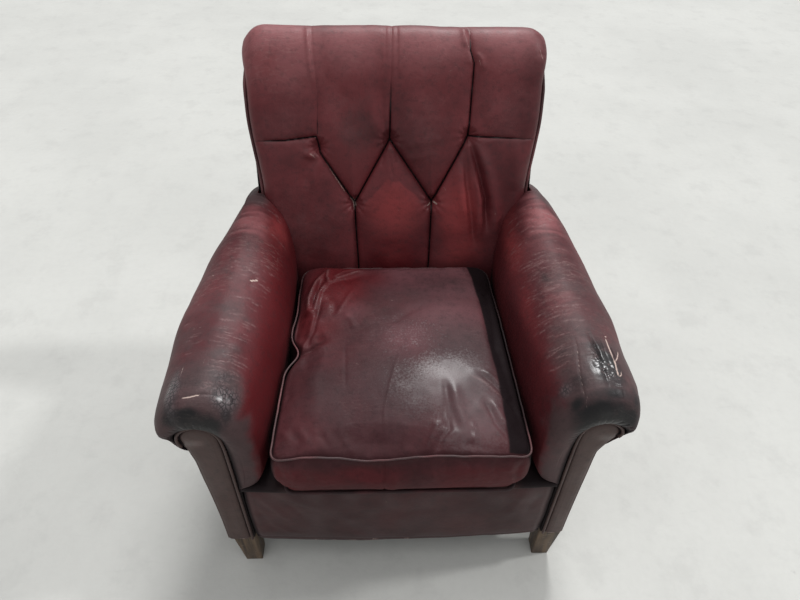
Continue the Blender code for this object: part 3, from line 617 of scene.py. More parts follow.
# The pleats in x and height: start, end, depth at the start and at the end, softness of the groove
def pleatLines():
    left, middle, right = [np.array(tuft) for tuft in backLook["upperTufts"]]
    lowLeft, lowRight = [np.array(tuft) for tuft in backLook["lowerTufts"]]
    return (
        ((-0.17, 0.955), (-0.165, 0.86), 0.0006, 0.0022, 0.002),
        ((-0.165, 0.86), (-0.16, 0.79), 0.0026, 0.003, 0.003),
        ((-0.16, 0.79), (-0.164, 0.705), 0.003, 0.005, 0.004),
        ((-0.006, 0.99), (-0.009, 0.8), 0.0012, 0.0034, 0.002),
        ((-0.009, 0.8), middle, 0.0036, 0.012, 0.003),
        ((0.149, 0.93), (0.152, 0.868), 0.0016, 0.007, 0.0035),
        ((0.152, 0.868), (0.16, 0.842), 0.008, 0.009, 0.003),
        ((0.16, 0.842), right, 0.009, 0.013, 0.003),
        ((0.15, 0.838), right + (-0.006, 0.02), 0.003, 0.003, 0.005),
        (left + (0.002, -0.012), lowLeft, 0.012, 0.016, 0.0028),
        (lowLeft, middle, 0.016, 0.016, 0.003),
        (middle, lowRight, 0.016, 0.016, 0.003),
        (lowRight, right, 0.016, 0.015, 0.0028),
        (lowLeft, (-0.086, 0.43), 0.015, 0.013, 0.0032),
        ((-0.086, 0.43), (-0.084, 0.3), 0.013, 0.01, 0.0035),
        (lowRight, (0.079, 0.43), 0.014, 0.011, 0.0032),
        ((0.079, 0.43), (0.074, 0.3), 0.011, 0.009, 0.0035),
        (left, left + (0.002, -0.012), 0.012, 0.012, 0.0028),
        (left, (-0.168, 0.7), 0.012, 0.011, 0.0028),
        ((-0.168, 0.7), (-0.235, 0.692), 0.011, 0.007, 0.0026),
        ((-0.235, 0.692), (-0.33, 0.69), 0.007, 0.003, 0.0024),
        (right, (0.33, 0.694), 0.0085, 0.003, 0.0022),
    )


# Soft folds and ridges in x and height
backFolds = [
    (((-0.171, 0.668), (-0.192, 0.64), (-0.203, 0.6)), 0.01, -0.0035),
    (((-0.16, 0.655), (-0.176, 0.625), (-0.184, 0.595)), 0.008, 0.0022),
    (((-0.2, 0.668), (-0.178, 0.66), (-0.168, 0.668)), 0.007, 0.0042),
    (((0.162, 0.69), (0.184, 0.635), (0.206, 0.575), (0.214, 0.51)), 0.0062, -0.012),
    (((0.176, 0.685), (0.206, 0.625), (0.23, 0.555), (0.238, 0.48)), 0.013, 0.0085),
    (((0.178, 0.625), (0.19, 0.565), (0.196, 0.49)), 0.009, 0.0062),
    (((0.152, 0.665), (0.16, 0.605), (0.176, 0.53), (0.184, 0.47)), 0.007, -0.006),
    (((0.138, 0.65), (0.146, 0.59), (0.16, 0.52)), 0.013, 0.0045),
    (((0.255, 0.7), (0.27, 0.64), (0.268, 0.59)), 0.014, 0.004),
    (((-0.028, 0.8), (-0.03, 0.74), (-0.016, 0.694)), 0.009, -0.0045),
    (((-0.05, 0.86), (-0.052, 0.76), (-0.034, 0.7)), 0.017, 0.0035),
    (((0.004, 0.94), (0.003, 0.8)), 0.0035, -0.0014),
    (((-0.02, 0.94), (-0.02, 0.83)), 0.0035, -0.0012),
    (((-0.177, 0.93), (-0.172, 0.85), (-0.168, 0.8)), 0.005, 0.0028),
    (((0.138, 0.93), (0.14, 0.872)), 0.007, 0.003),
    (((0.16, 0.862), (0.172, 0.848), (0.178, 0.825)), 0.006, 0.0036),
    (((0.17, 0.76), (0.19, 0.72), (0.2, 0.69)), 0.016, -0.0022),
    (((0.01, 0.68), (0.06, 0.69), (0.11, 0.7)), 0.008, 0.0014),
    (((0.02, 0.655), (0.07, 0.662)), 0.007, 0.0012),
    (((-0.012, 0.67), (-0.01, 0.64), (-0.006, 0.618)), 0.004, -0.0018),
    (((0.0, 0.668), (0.006, 0.645)), 0.004, -0.0014),
    (((-0.024, 0.662), (-0.03, 0.64)), 0.004, -0.0014),
    (((-0.09, 0.79), (-0.105, 0.75), (-0.085, 0.7)), 0.022, -0.003),
    (((-0.06, 0.79), (-0.045, 0.75), (-0.055, 0.69)), 0.02, 0.0022),
    (((-0.305, 0.86), (-0.285, 0.85)), 0.005, -0.0022),
    (((-0.308, 0.838), (-0.288, 0.826)), 0.005, -0.002),
    (((-0.31, 0.88), (-0.29, 0.876)), 0.005, -0.002),
    (((0.305, 0.87), (0.286, 0.862)), 0.005, -0.0018),
    (((0.09, 0.88), (0.12, 0.8), (0.13, 0.74)), 0.03, 0.0025),
    (((-0.13, 0.56), (-0.16, 0.5), (-0.17, 0.44)), 0.03, 0.003),
]


# How deep the leather lies below the crown of the stuffing, and how dark the pleat lines and tufts are
# painted as shade, darker where a pleat is deeper
def backRelief(flat):
    crease = np.zeros(len(flat))
    hollow = np.zeros(len(flat))
    seam = np.zeros(len(flat))
    for start, end, depthStart, depthEnd, softness in pleatLines():
        away, along, _ = nearLine(flat, (start, end))
        depth = depthStart + (depthEnd - depthStart) * along
        groove = 0.58 * np.exp(-away / softness) + 0.42 * np.exp(-away / 0.012)
        crease = np.maximum(crease, depth * groove)
        hollow = np.maximum(hollow, depth * 0.42 * np.exp(-(away / 0.034) ** 2))
        strength = np.clip(depth / 0.007, 0.0, 1.0) ** 0.25
        seam = np.maximum(seam, np.clip(1.0 - away / 0.01, 0.0, 1.0) * strength)
    for tuft in backLook["upperTufts"] + backLook["lowerTufts"]:
        gap = flat - np.array(tuft)
        away = np.linalg.norm(gap, axis=1)
        angle = np.arctan2(gap[:, 1], gap[:, 0])
        hollow = np.maximum(hollow, 0.016 * np.exp(-(away / 0.019) ** 2))
        hollow += (0.0011 * np.sin(angle * 11.0 + tuft[0] * 90.0) * np.exp(-(away / 0.026) ** 2)
                   * easeStep(away, 0.002, 0.01))
        seam = np.maximum(seam, np.clip(1.0 - away / 0.014, 0.0, 1.0))
    return crease + hollow - strokes(flat, backFolds), seam


def placeBack(column, row):
    look = backLook
    points, normals, heights = backFace(look["rows"] + 1)
    inner = np.array(look["inner"])
    innerLengths = lengthsAlong(inner)
    keyHeights = (heights[0], 0.84, 0.95, heights[-1])
    reach = np.interp(heights, keyHeights, innerLengths)
    innerPath = placesAlong(inner, innerLengths, reach)
    innerPath[:, 0] = np.where(innerPath[:, 1] < 0.8,
                               0.2195 + 0.2337 * np.maximum(0.0, innerPath[:, 1] - 0.3), innerPath[:, 0])
    inFront = column <= look["columns"]
    u = np.where(inFront, -1.0 + 2.0 * column / look["columns"],
                 1.0 - 2.0 * (column - look["columns"] - 1) / look["innerColumns"])
    point = points[row]
    z = np.where(inFront, point[:, 1], innerPath[row][:, 1])
    half = look["halfLow"] + (look["half"] - look["halfLow"]) * easeStep(z, 0.47, 0.482)
    x = u * half
    flat = np.stack([x, heights[row]], 1)
    relief, _ = backRelief(flat)
    edge = np.where(point[:, 1] > 0.5, easeStep(look["half"] - np.abs(x), 0.0, 0.022), 1.0)
    relief *= edge * easeStep(0.41 - point[:, 0], 0.0, 0.03)
    wave = softNoise(flat, 0.075, 5) * 0.0016 + softNoise(flat, 0.02, 6) * 0.00035
    drop = np.where(inFront, edgeDrop(x, point[:, 0]) + relief - wave * edge, 0.0)
    moved = point - normals[row] * drop[:, None]
    moved[:, 1] -= easeStep(np.abs(x), 0.25, 0.308) ** 2 * cornerDrop(point[:, 1], x)
    y = np.where(inFront, moved[:, 0], innerPath[row][:, 0])
    z = np.where(inFront, np.maximum(moved[:, 1], 0.3104), z)
    side = np.sign(u) * np.abs(u) ** 3
    return np.stack([x + u * flareAt(z) - side * drawIn(z) * inFront, y, z], 1)


def makeBack():
    look = backLook
    mesh = bentGrid("insideBack", look["columns"] + look["innerColumns"] + 2, look["rows"], placeBack,
                    angle=55)
    _, _, heights = backFace(look["rows"] + 1)
    height = np.interp(getMask(mesh, "along"), np.linspace(0.0, 1.0, look["rows"] + 1), heights)
    points = readPoints(mesh)
    flat = np.stack([points[:, 0] * look["half"] / (look["half"] + flareAt(points[:, 2])), height], 1)
    _, seam = backRelief(flat)
    red = blobs(flat, [((-0.005, 0.44), (0.075, 0.08), 0.95), ((0.15, 0.51), (0.06, 0.075), 0.6),
                       ((-0.27, 0.8), (0.06, 0.09), 0.45), ((0.225, 0.59), (0.06, 0.05), 0.35)])
    # Painted light: a brighter patch on the lower middle panel, with a sharp upper edge where the light
    # falls, and brighter red in other panels
    drop = (0.616 - 0.9 * np.maximum(0.0, np.abs(flat[:, 0] + 0.004) - 0.012)
            + 0.004 * softNoise(flat, 0.02, 7))
    panel = (easeStep(drop - flat[:, 1], -0.002, 0.006)
             * blobs(flat, [((-0.005, 0.555), (0.075, 0.075), 0.8)]))
    panel = np.maximum(panel, blobs(flat, [((0.14, 0.55), (0.055, 0.08), 0.85),
                                           ((0.15, 0.47), (0.06, 0.06), 0.6),
                                           ((-0.262, 0.845), (0.045, 0.05), 0.35),
                                           ((0.215, 0.905), (0.07, 0.04), 0.25),
                                           ((0.0, 0.45), (0.06, 0.06), 0.35)]))
    # Painted light: the top roll and the upper panels are painted lighter where light falls on them
    light = blobs(flat, [((-0.245, 0.87), (0.095, 0.08), 1.6), ((0.06, 0.88), (0.1, 0.065), 0.85),
                         ((-0.09, 0.88), (0.07, 0.065), 0.9), ((0.23, 0.89), (0.08, 0.065), 0.85),
                         ((-0.13, 0.76), (0.03, 0.06), 0.35), ((0.06, 0.74), (0.06, 0.09), 0.32),
                         ((0.23, 0.76), (0.07, 0.07), 0.35), ((-0.23, 0.74), (0.07, 0.07), 0.35),
                         ((-0.21, 0.55), (0.07, 0.08), 0.25)])
    scratches = strokes(flat, backScratches)
    # The pleat lines and tufts are painted dark as shade, and the bottom of the back is painted darker
    # towards the seat as shade
    paint(mesh, fresh=red,
          bright=panel,
          haze=light,
          rubbed=blobs(flat, [((-0.2, 0.5), (0.09, 0.09), 0.3), ((0.07, 0.7), (0.075, 0.08), 0.3),
                              ((-0.085, 0.72), (0.05, 0.08), 0.45)]),
          creased=0.25 * light,
          seam=seam,
          grime=0.75 * easeStep(-height, -0.42, -0.34),
          pale=scratches)
    piece = addPiece("insideBack", mesh, backLeather, ["inside_back"])


# Fine light marks: lines in x and height, their width and strength
backScratches = [
    (((-0.161, 0.668), (-0.132, 0.62), (-0.103, 0.574)), 0.0018, 0.6),
    (((-0.101, 0.576), (-0.093, 0.566)), 0.0018, 0.9),
    (((-0.083, 0.577), (-0.09, 0.566)), 0.0018, 0.8),
    (((-0.093, 0.566), (-0.091, 0.545)), 0.0016, 0.85),
    (((-0.163, 0.69), (-0.17, 0.698), (-0.18, 0.7)), 0.0016, 0.45),
    (((-0.18, 0.94), (-0.174, 0.88), (-0.17, 0.85)), 0.001, 0.42),
    (((-0.186, 0.93), (-0.18, 0.88)), 0.0008, 0.36),
    (((0.14, 0.905), (0.144, 0.885), (0.15, 0.868)), 0.0016, 0.45),
    (((0.168, 0.85), (0.174, 0.832)), 0.0016, 0.45),
    (((0.29, 0.88), (0.298, 0.862), (0.303, 0.848)), 0.002, 0.5),
    (((-0.186, 0.668), (-0.176, 0.663), (-0.169, 0.655)), 0.0026, 0.45),
    (((-0.096, 0.574), (-0.088, 0.553)), 0.003, 0.8),
    (((0.084, 0.566), (0.095, 0.56)), 0.0022, 0.75),
    (((0.081, 0.564), (0.071, 0.556)), 0.002, 0.7),
    (((0.106, 0.6), (0.114, 0.588)), 0.0016, 0.4),
    (((0.105, 0.822), (0.118, 0.828)), 0.0022, 0.35),
    (((-0.074, 0.852), (-0.058, 0.84)), 0.002, 0.3),
    (((-0.086, 0.78), (-0.083, 0.765)), 0.0016, 0.3),
    (((-0.09, 0.56), (-0.088, 0.47), (-0.086, 0.4)), 0.0012, 0.35),
]

makeBack()
print("inside back made")


# The boxed sides of the back, their welts, and the plain outside back

backSideLook = {"low": 0.5, "lip": 0.8155, "welt": 0.0034}

postLook = {"lowY": 0.27, "highY": 0.3922, "lowZ": 0.3, "highZ": 0.835}


# The depth of the rear posts' front at this height: they lean back
def placeOnPost(z):
    look = postLook
    lean = (look["highY"] - look["lowY"]) * (np.maximum(z, look["lowZ"]) - look["lowZ"])
    return look["lowY"] + lean / (look["highZ"] - look["lowZ"])


# How far the boxing draws in behind the front edge, fading out before the back posts
def sideInset(y, z):
    behind = y - np.interp(z, (0.5, 0.66, 0.835, 0.88), (0.16, 0.222, 0.292, 0.33))
    return np.maximum(drawIn(z) * (1.0 - easeStep(behind, 0.03, 0.085)), 0.0062 * easeStep(z, 0.77, 0.835))


def makeBackSide(word, side):
    look = backSideLook
    points, normals, _ = backFace(120)
    inside = points - normals * (roundingAt(points[:, 0]) + 0.0015)[:, None]
    keep = points[:, 1] > look["low"]
    front = inside[keep]
    front[:, 1] = np.where(front[:, 0] > 0.35, np.maximum(front[:, 1], look["lip"]), front[:, 1])
    rear = np.array([(placeOnPost(z) - clearance, z) for z in np.linspace(look["lip"], look["low"], 60)])
    outline = np.vstack([front, rear])
    flat = backLook["half"] + clearance
    bm = bmesh.new()
    face = bm.faces.new([bm.verts.new((side * flat, y, z)) for y, z in outline])
    out = bmesh.ops.extrude_face_region(bm, geom=[face])["geom"]
    bmesh.ops.translate(bm, vec=(side * 0.0042, 0.0, 0.0),
                        verts=[v for v in out if isinstance(v, bmesh.types.BMVert)])
    inner = [f for f in out if isinstance(f, bmesh.types.BMFace)]
    for width, lift in ((0.0012, 0.0014), (0.0022, 0.0018), (0.004, 0.0017), (0.006, 0.0013),
                        (0.008, 0.0008)):
        bmesh.ops.inset_region(bm, faces=inner, thickness=width, use_even_offset=False)
        bmesh.ops.translate(bm, vec=(side * lift, 0.0, 0.0), verts=inner[0].verts)
    bmesh.ops.triangulate(bm, faces=inner)
    bmesh.ops.recalc_face_normals(bm, faces=bm.faces)
    mesh = stored(bm, bpy.data.meshes.new("backSide" + word.title()))
    points = readPoints(mesh)
    wave = softNoise(points, 0.045, 8) * 0.0008
    points[:, 0] += (side * (flareAt(points[:, 2])
                             + wave * easeStep(np.abs(points[:, 0]), flat + 0.003, flat + 0.008)))
    points[:, 0] -= (side * (sideInset(points[:, 1], points[:, 2])
                             + 0.004 * easeStep(points[:, 1], 0.375, 0.398)))
    points[:, 2] -= cornerDrop(points[:, 2] + 0.008, side)
    writePoints(mesh, points)
    smoothShade(mesh, 50)
    setMask(mesh, "rubbed", blobs(points, [((side * 0.32, 0.3, 0.8), (0.05, 0.06, 0.06), 0.5)]))
    addPiece("backSide" + word.title(), mesh, darkLeather, ["back_side_" + word])


def makeBackWelt(word, side):
    look = backSideLook
    points, normals, _ = backFace(150)
    inside = points - normals * (roundingAt(points[:, 0]) - 0.0035)[:, None]
    inside[:, 1] -= cornerDrop(points[:, 1], side)
    inside = inside[(points[:, 1] > 0.5) & ((points[:, 0] < 0.38) | (points[:, 1] > 0.85))]
    reach = backLook["half"] + look["welt"] + clearance
    wander = 0.0004 * np.sin(np.arange(len(inside)) * 0.5)
    inset = sideInset(inside[:, 0], inside[:, 1])
    path = [(side * (reach + flareAt(z) - pull), y + shift, z)
            for (y, z), shift, pull in zip(inside, wander, inset)]
    mesh = cordMesh("backWelt" + word.title(), path, look["welt"])
    points = readPoints(mesh)
    paint(mesh, haze=0.5 + 0.5 * softNoise(points, 0.03, 9),
          rubbed=0.35 + 0.35 * softNoise(points, 0.05, 10))
    addPiece("backWelt" + word.title(), mesh, weltLeather, ["back_welt_" + word])


def makeOutsideBack():
    low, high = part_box("outside_back")

    def place(column, row):
        columns, rows = 60, 84
        behind = column <= columns
        u = np.where(behind, -1.0 + 2.0 * column / columns, 1.0 - 2.0 * (column - columns - 1) / columns)
        z = low.z + (high.z - low.z) * row / rows
        x = u * high.x
        flat = np.stack([x, z], 1)
        edge = (easeStep(high.x - np.abs(x), 0.0, 0.02) * easeStep(z - low.z, 0.0, 0.02)
                * easeStep(high.z - z, 0.0, 0.02))
        proud = 0.0028 + 0.0017 * easeStep(edge, 0.0, 1.0) + softNoise(flat, 0.11, 11) * 0.0012 * edge
        proud += strokes(flat, [(((-0.3, 0.16), (-0.18, 0.2)), 0.012, 0.001),
                                (((0.3, 0.15), (0.2, 0.22)), 0.012, 0.001),
                                (((-0.3, 0.78), (-0.22, 0.73)), 0.01, -0.0008),
                                (((0.3, 0.78), (0.22, 0.72)), 0.01, -0.0008)])
        y = placeOnPost(z) + clearance + np.where(behind, proud, 0.0)
        return np.stack([x, y, z], 1)

    mesh = bentGrid("outsideBack", 122, 84, place, angle=60)
    points = readPoints(mesh)
    edges = [((0.0, 0.3, 0.12), (0.4, 1.0, 0.05), 0.6), ((0.0, 0.4, 0.82), (0.4, 1.0, 0.05), 0.6)]
    setMask(mesh, "rubbed", blobs(points, edges))
    addPiece("outsideBack", mesh, darkLeather, ["outside_back"])


for word, side in sides:
    makeBackSide(word, side)
    makeBackWelt(word, side)
makeOutsideBack()
print("sides and outside of the back made")


# The arms: padded rolls that swell forward round the facings

armLook = {
    "columns": 300, "rows": 320,
    "outline": ((0.286, seatLevel), (0.264, 0.315), (0.25, 0.333), (0.243, 0.365), (0.24, 0.42),
                (0.243, 0.47), (0.258, 0.52), (0.288, 0.555), (0.325, 0.567), (0.365, 0.558),
                (0.395, 0.53), (0.409, 0.492), (0.405, 0.462), (0.386, 0.4415), (0.3665, 0.43),
                (0.3515, 0.4225)),
    "reach": {"left": ((-0.26, 1.0), (-0.1, 1.1), (0.07, 1.1), (0.2, 0.6), (0.29, 0.15)),
              "right": ((-0.26, 1.0), (-0.1, 1.12), (0.07, 1.2), (0.2, 0.85), (0.29, 0.3))},
    "lift": {"left": ((-0.06, 0.0), (0.13, 0.013), (0.2, 0.008), (0.3, -0.034)),
             "right": ((-0.06, 0.0), (0.13, 0.017), (0.2, 0.012), (0.3, -0.026))},
    "wide": {"left": ((-0.4, -0.004), (-0.31, 0.001), (-0.2, 0.01), (-0.11, 0.006), (0.0, -0.003),
                      (0.08, -0.013), (0.16, -0.011), (0.24, -0.01), (0.34, -0.01)),
             "right": ((-0.4, -0.004), (-0.31, 0.001), (-0.2, 0.006), (-0.11, 0.004), (0.0, -0.006),
                       (0.08, -0.012), (0.16, -0.012), (0.24, -0.01), (0.34, -0.004))},
    "tuck": {"left": (0.7, 0.505, 0.45), "right": (0.95, 0.545, 0.47)},
    "sag": {"left": 0.0055, "right": -0.005},
    "mouth": ((0.2954, seatLevel), (0.2954, 0.4), (0.2962, 0.44), (0.3004, 0.4683), (0.3136, 0.4886),
              (0.338, 0.4981), (0.3603, 0.492), (0.376, 0.476), (0.3806, 0.457), (0.374, 0.4395),
              (0.362, 0.428), (0.3515, 0.4225)),
    "frontY": -0.372, "facing": 0.012, "nose": 0.021, "crestX": 0.325, "seamZ": 0.4225,
    "sideFront": 0.351, "sideRear": 0.322, "railFront": 0.299, "railRear": 0.2845, "skin": 0.0045,
    "railEnd": 0.225, "slopeFrom": 0.2, "end": 0.318,
    "lean": {"left": (0.0015, 0.0095), "right": (-0.007, -0.004)},    # low down and under the roll
}


def sideX(word, y, z):
    look = armLook
    t = np.clip((y - look["frontY"] - look["facing"])
                / (postLook["lowY"] - look["frontY"] - look["facing"]), 0.0, 1.0)
    low, high = look["lean"][word]
    lean = ((low + (high - low) * easeStep(z, 0.18, 0.42)) * easeStep(-z, -0.465, -0.43)
            * np.maximum(0.0, 1.0 - t))
    return look["sideFront"] + (look["sideRear"] - look["sideFront"]) * t + lean


# The opening in the roll that the facing fills, from the rail up round the scroll to the seam
def mouthLine(word, count):
    line = curveThrough(armLook["mouth"], count)
    x, z = line.T
    line[:, 1] -= armLook["sag"][word] * easeStep(x, 0.352, 0.368) * easeStep(-z, -0.468, -0.442)
    return line


def railX(y):
    look = armLook
    t = (y - look["frontY"] - look["facing"]) / (look["railEnd"] - look["frontY"] - look["facing"])
    return look["railFront"] + (look["railRear"] - look["railFront"]) * t


# Depth and fullness of the roll along its length: the nose turns in to the facing's mouth
def armStations(count):
    look = armLook
    mouth = look["frontY"] + look["facing"] + clearance
    nose = look["frontY"] - look["nose"]
    marks = [(mouth, 0.0), (look["frontY"] - 0.007, 0.0), (nose + 0.006, 0.1), (nose + 0.001, 0.28),
             (nose, 0.45), (nose + 0.004, 0.66), (nose + 0.015, 0.85), (look["frontY"] + 0.012, 0.965)]
    marks += [(y, 1.0) for y in (-0.325, -0.29, -0.23, -0.14, -0.05, 0.04, 0.12, 0.18, 0.23, 0.27, 0.3)]
    marks += [(look["end"], 0.93)]
    fine = curveThrough(np.array(marks) * (1.0, 0.07), 900)
    steps = np.linalg.norm(np.diff(fine, axis=0), axis=1) * np.where(fine[1:, 0] < -0.21, 2.0, 1.0)
    lengths = np.concatenate([[0.0], np.cumsum(steps)])
    path = placesAlong(fine, lengths, np.linspace(0.0, lengths[-1], count))
    path[:, 1] = np.clip(path[:, 1] / 0.07, 0.0, 1.0)
    return path


def makeArmPlacer(word, side):
    look = armLook
    around = look["columns"] - 4
    section = curveThrough(look["outline"], around)
    mouth = mouthLine(word, around)
    path = armStations(look["rows"] + 1)
    back = look["frontY"] + look["facing"] + clearance

    def place(column, row):
        y, blend = path[row].T
        shown = column < around
        index = np.minimum(column, around - 1)
        y = np.where(shown, y, np.maximum(y, back))
        x, z = section[index].T
        edge = sideX(word, y, look["seamZ"])
        fit = sideX(word, y, z)
        inward = rampThrough(y, ((-0.37, 0.0), (-0.27, -0.01), (-0.13, -0.019), (0.04, -0.019),
                                 (0.13, -0.012)))
        reach = rampThrough(y, look["reach"][word])
        lift = rampThrough(y, look["lift"][word])
        crest = look["crestX"]
        upper = easeStep(z, 0.44, 0.5)
        drawn = easeStep(x, 0.255, look["sideFront"] + 0.02) * upper
        drawn = drawn + easeStep(x, crest, look["sideFront"]) * (1.0 - upper)
        moved = x + inward * easeStep(crest - x, 0.0, 0.08) * easeStep(z, 0.3, 0.36)
        moved += (drawn * (fit - look["sideFront"]
                           + (reach - 1.0) * np.maximum(0.0, x - look["sideFront"] + 0.012 * upper)))
        moved += rampThrough(y, look["wide"][word]) * easeStep(x, 0.335, 0.395) * easeStep(z, 0.43, 0.475)
        full = (0.0015 + 0.006 * easeStep(z, 0.425, 0.45) * easeStep(-z, -0.56, -0.5)
                * easeStep(-y, -0.315, -0.25))
        amount, high, low = look["tuck"][word]
        blend = (blend * (1.0 - amount * easeStep(x, 0.345, 0.365) * easeStep(-z, -high, -low)
                          * easeStep(-y, 0.32, 0.372)))
        x = np.where(x > 0.335, np.maximum(moved, 0.3 + (fit + full - 0.3) * easeStep(x, 0.335, 0.352)),
                     moved)
        hang = easeStep(x, 0.35, 0.385) * easeStep(-z, -0.5, -0.45) * easeStep(-y, 0.25, 0.34)
        z = z + lift * easeStep(z, 0.44, 0.55) - look["sag"][word] * hang
        x = x + (mouth[index][:, 0] - x) * (1.0 - blend)
        z = z + (mouth[index][:, 1] - z) * (1.0 - blend)
        hollow = np.stack([np.stack([edge - look["skin"], np.full_like(y, look["seamZ"])], 1),
                           np.stack([edge - look["skin"], np.full_like(y, 0.4553)], 1),
                           np.stack([railX(y) - 0.0005, np.full_like(y, 0.4553)], 1),
                           np.stack([railX(y) - 0.0005, np.full_like(y, seatLevel)], 1)])
        step = np.clip(column - around, 0, 3)
        inside = hollow[step, np.arange(len(y))]
        x = np.where(shown, x, inside[:, 0])
        z = np.where(shown, z, inside[:, 1])
        swell = np.where(x > 0.345, easeStep(z, 0.442, 0.5), 0.4 + 0.6 * easeStep(z, 0.38, 0.52))
        y = np.where(y < look["frontY"], look["frontY"] + (y - look["frontY"]) * swell, y)
        end = placeOnPost(z) - 0.0005
        slope = look["slopeFrom"]
        y = np.where(y > slope, slope + (y - slope) * (end - slope) / (look["end"] - slope), y)
        return np.stack([side * x, y, z], 1)

    return place


# A plain block in the shape of the whole back, which the arm pads are cut by
def backBlock():
    points, normals, _ = backFace(70)
    keep = points[:, 1] < 0.8
    points, normals = points[keep], normals[keep]
    half = armLook["sideRear"] + 0.0008
    limit = backLook["round"]
    marks = np.concatenate([[0.0, 0.08, 0.16, 0.22],
                            backLook["half"] - limit * (1.0 - np.linspace(0.0, 1.0, 16)), [half]])
    marks = np.concatenate([-marks[:0:-1], marks])
    rear = np.array([(0.6, 0.8), (0.6, 0.25), (0.112, 0.25)])

    def place(column, row):
        x = marks[row]
        drop = np.minimum(edgeDrop(x, np.zeros(len(x))), limit - 0.0085)
        shown = column < len(points)
        index = np.minimum(column, len(points) - 1)
        moved = points[index] - normals[index] * (drop - 0.0016)[:, None]
        far = rear[np.clip(column - len(points), 0, 2)]
        y = np.where(shown, moved[:, 0], far[:, 0] + np.where(far[:, 0] < 0.2, drop, 0.0))
        z = np.where(shown, moved[:, 1], far[:, 1])
        x = np.where(shown, x * (1.0 + (flareAt(z) - drawIn(z)) / backLook["half"]), x)
        return np.stack([x, y, z], 1)

    return bentGrid("backBlock", len(points) + 3, len(marks) - 1, place)


# Short fine creases scattered over a patch. Across and along are its limits, length their least and most.
def creaseLines(seed, count, across, along, length, strength=(0.22, 0.6)):
    random = np.random.default_rng(seed)
    lines = []
    for _ in range(count):
        u, y, half = random.uniform(*across), random.uniform(*along), random.uniform(*length) / 2.0
        slope, bend = random.uniform(-0.22, 0.12), random.uniform(-0.003, 0.003)
        lines.append((((u - half, y - slope * half), (u, y + bend), (u + half, y + slope * half)),
                      random.uniform(0.0007, 0.0013), random.uniform(*strength)))
    return lines


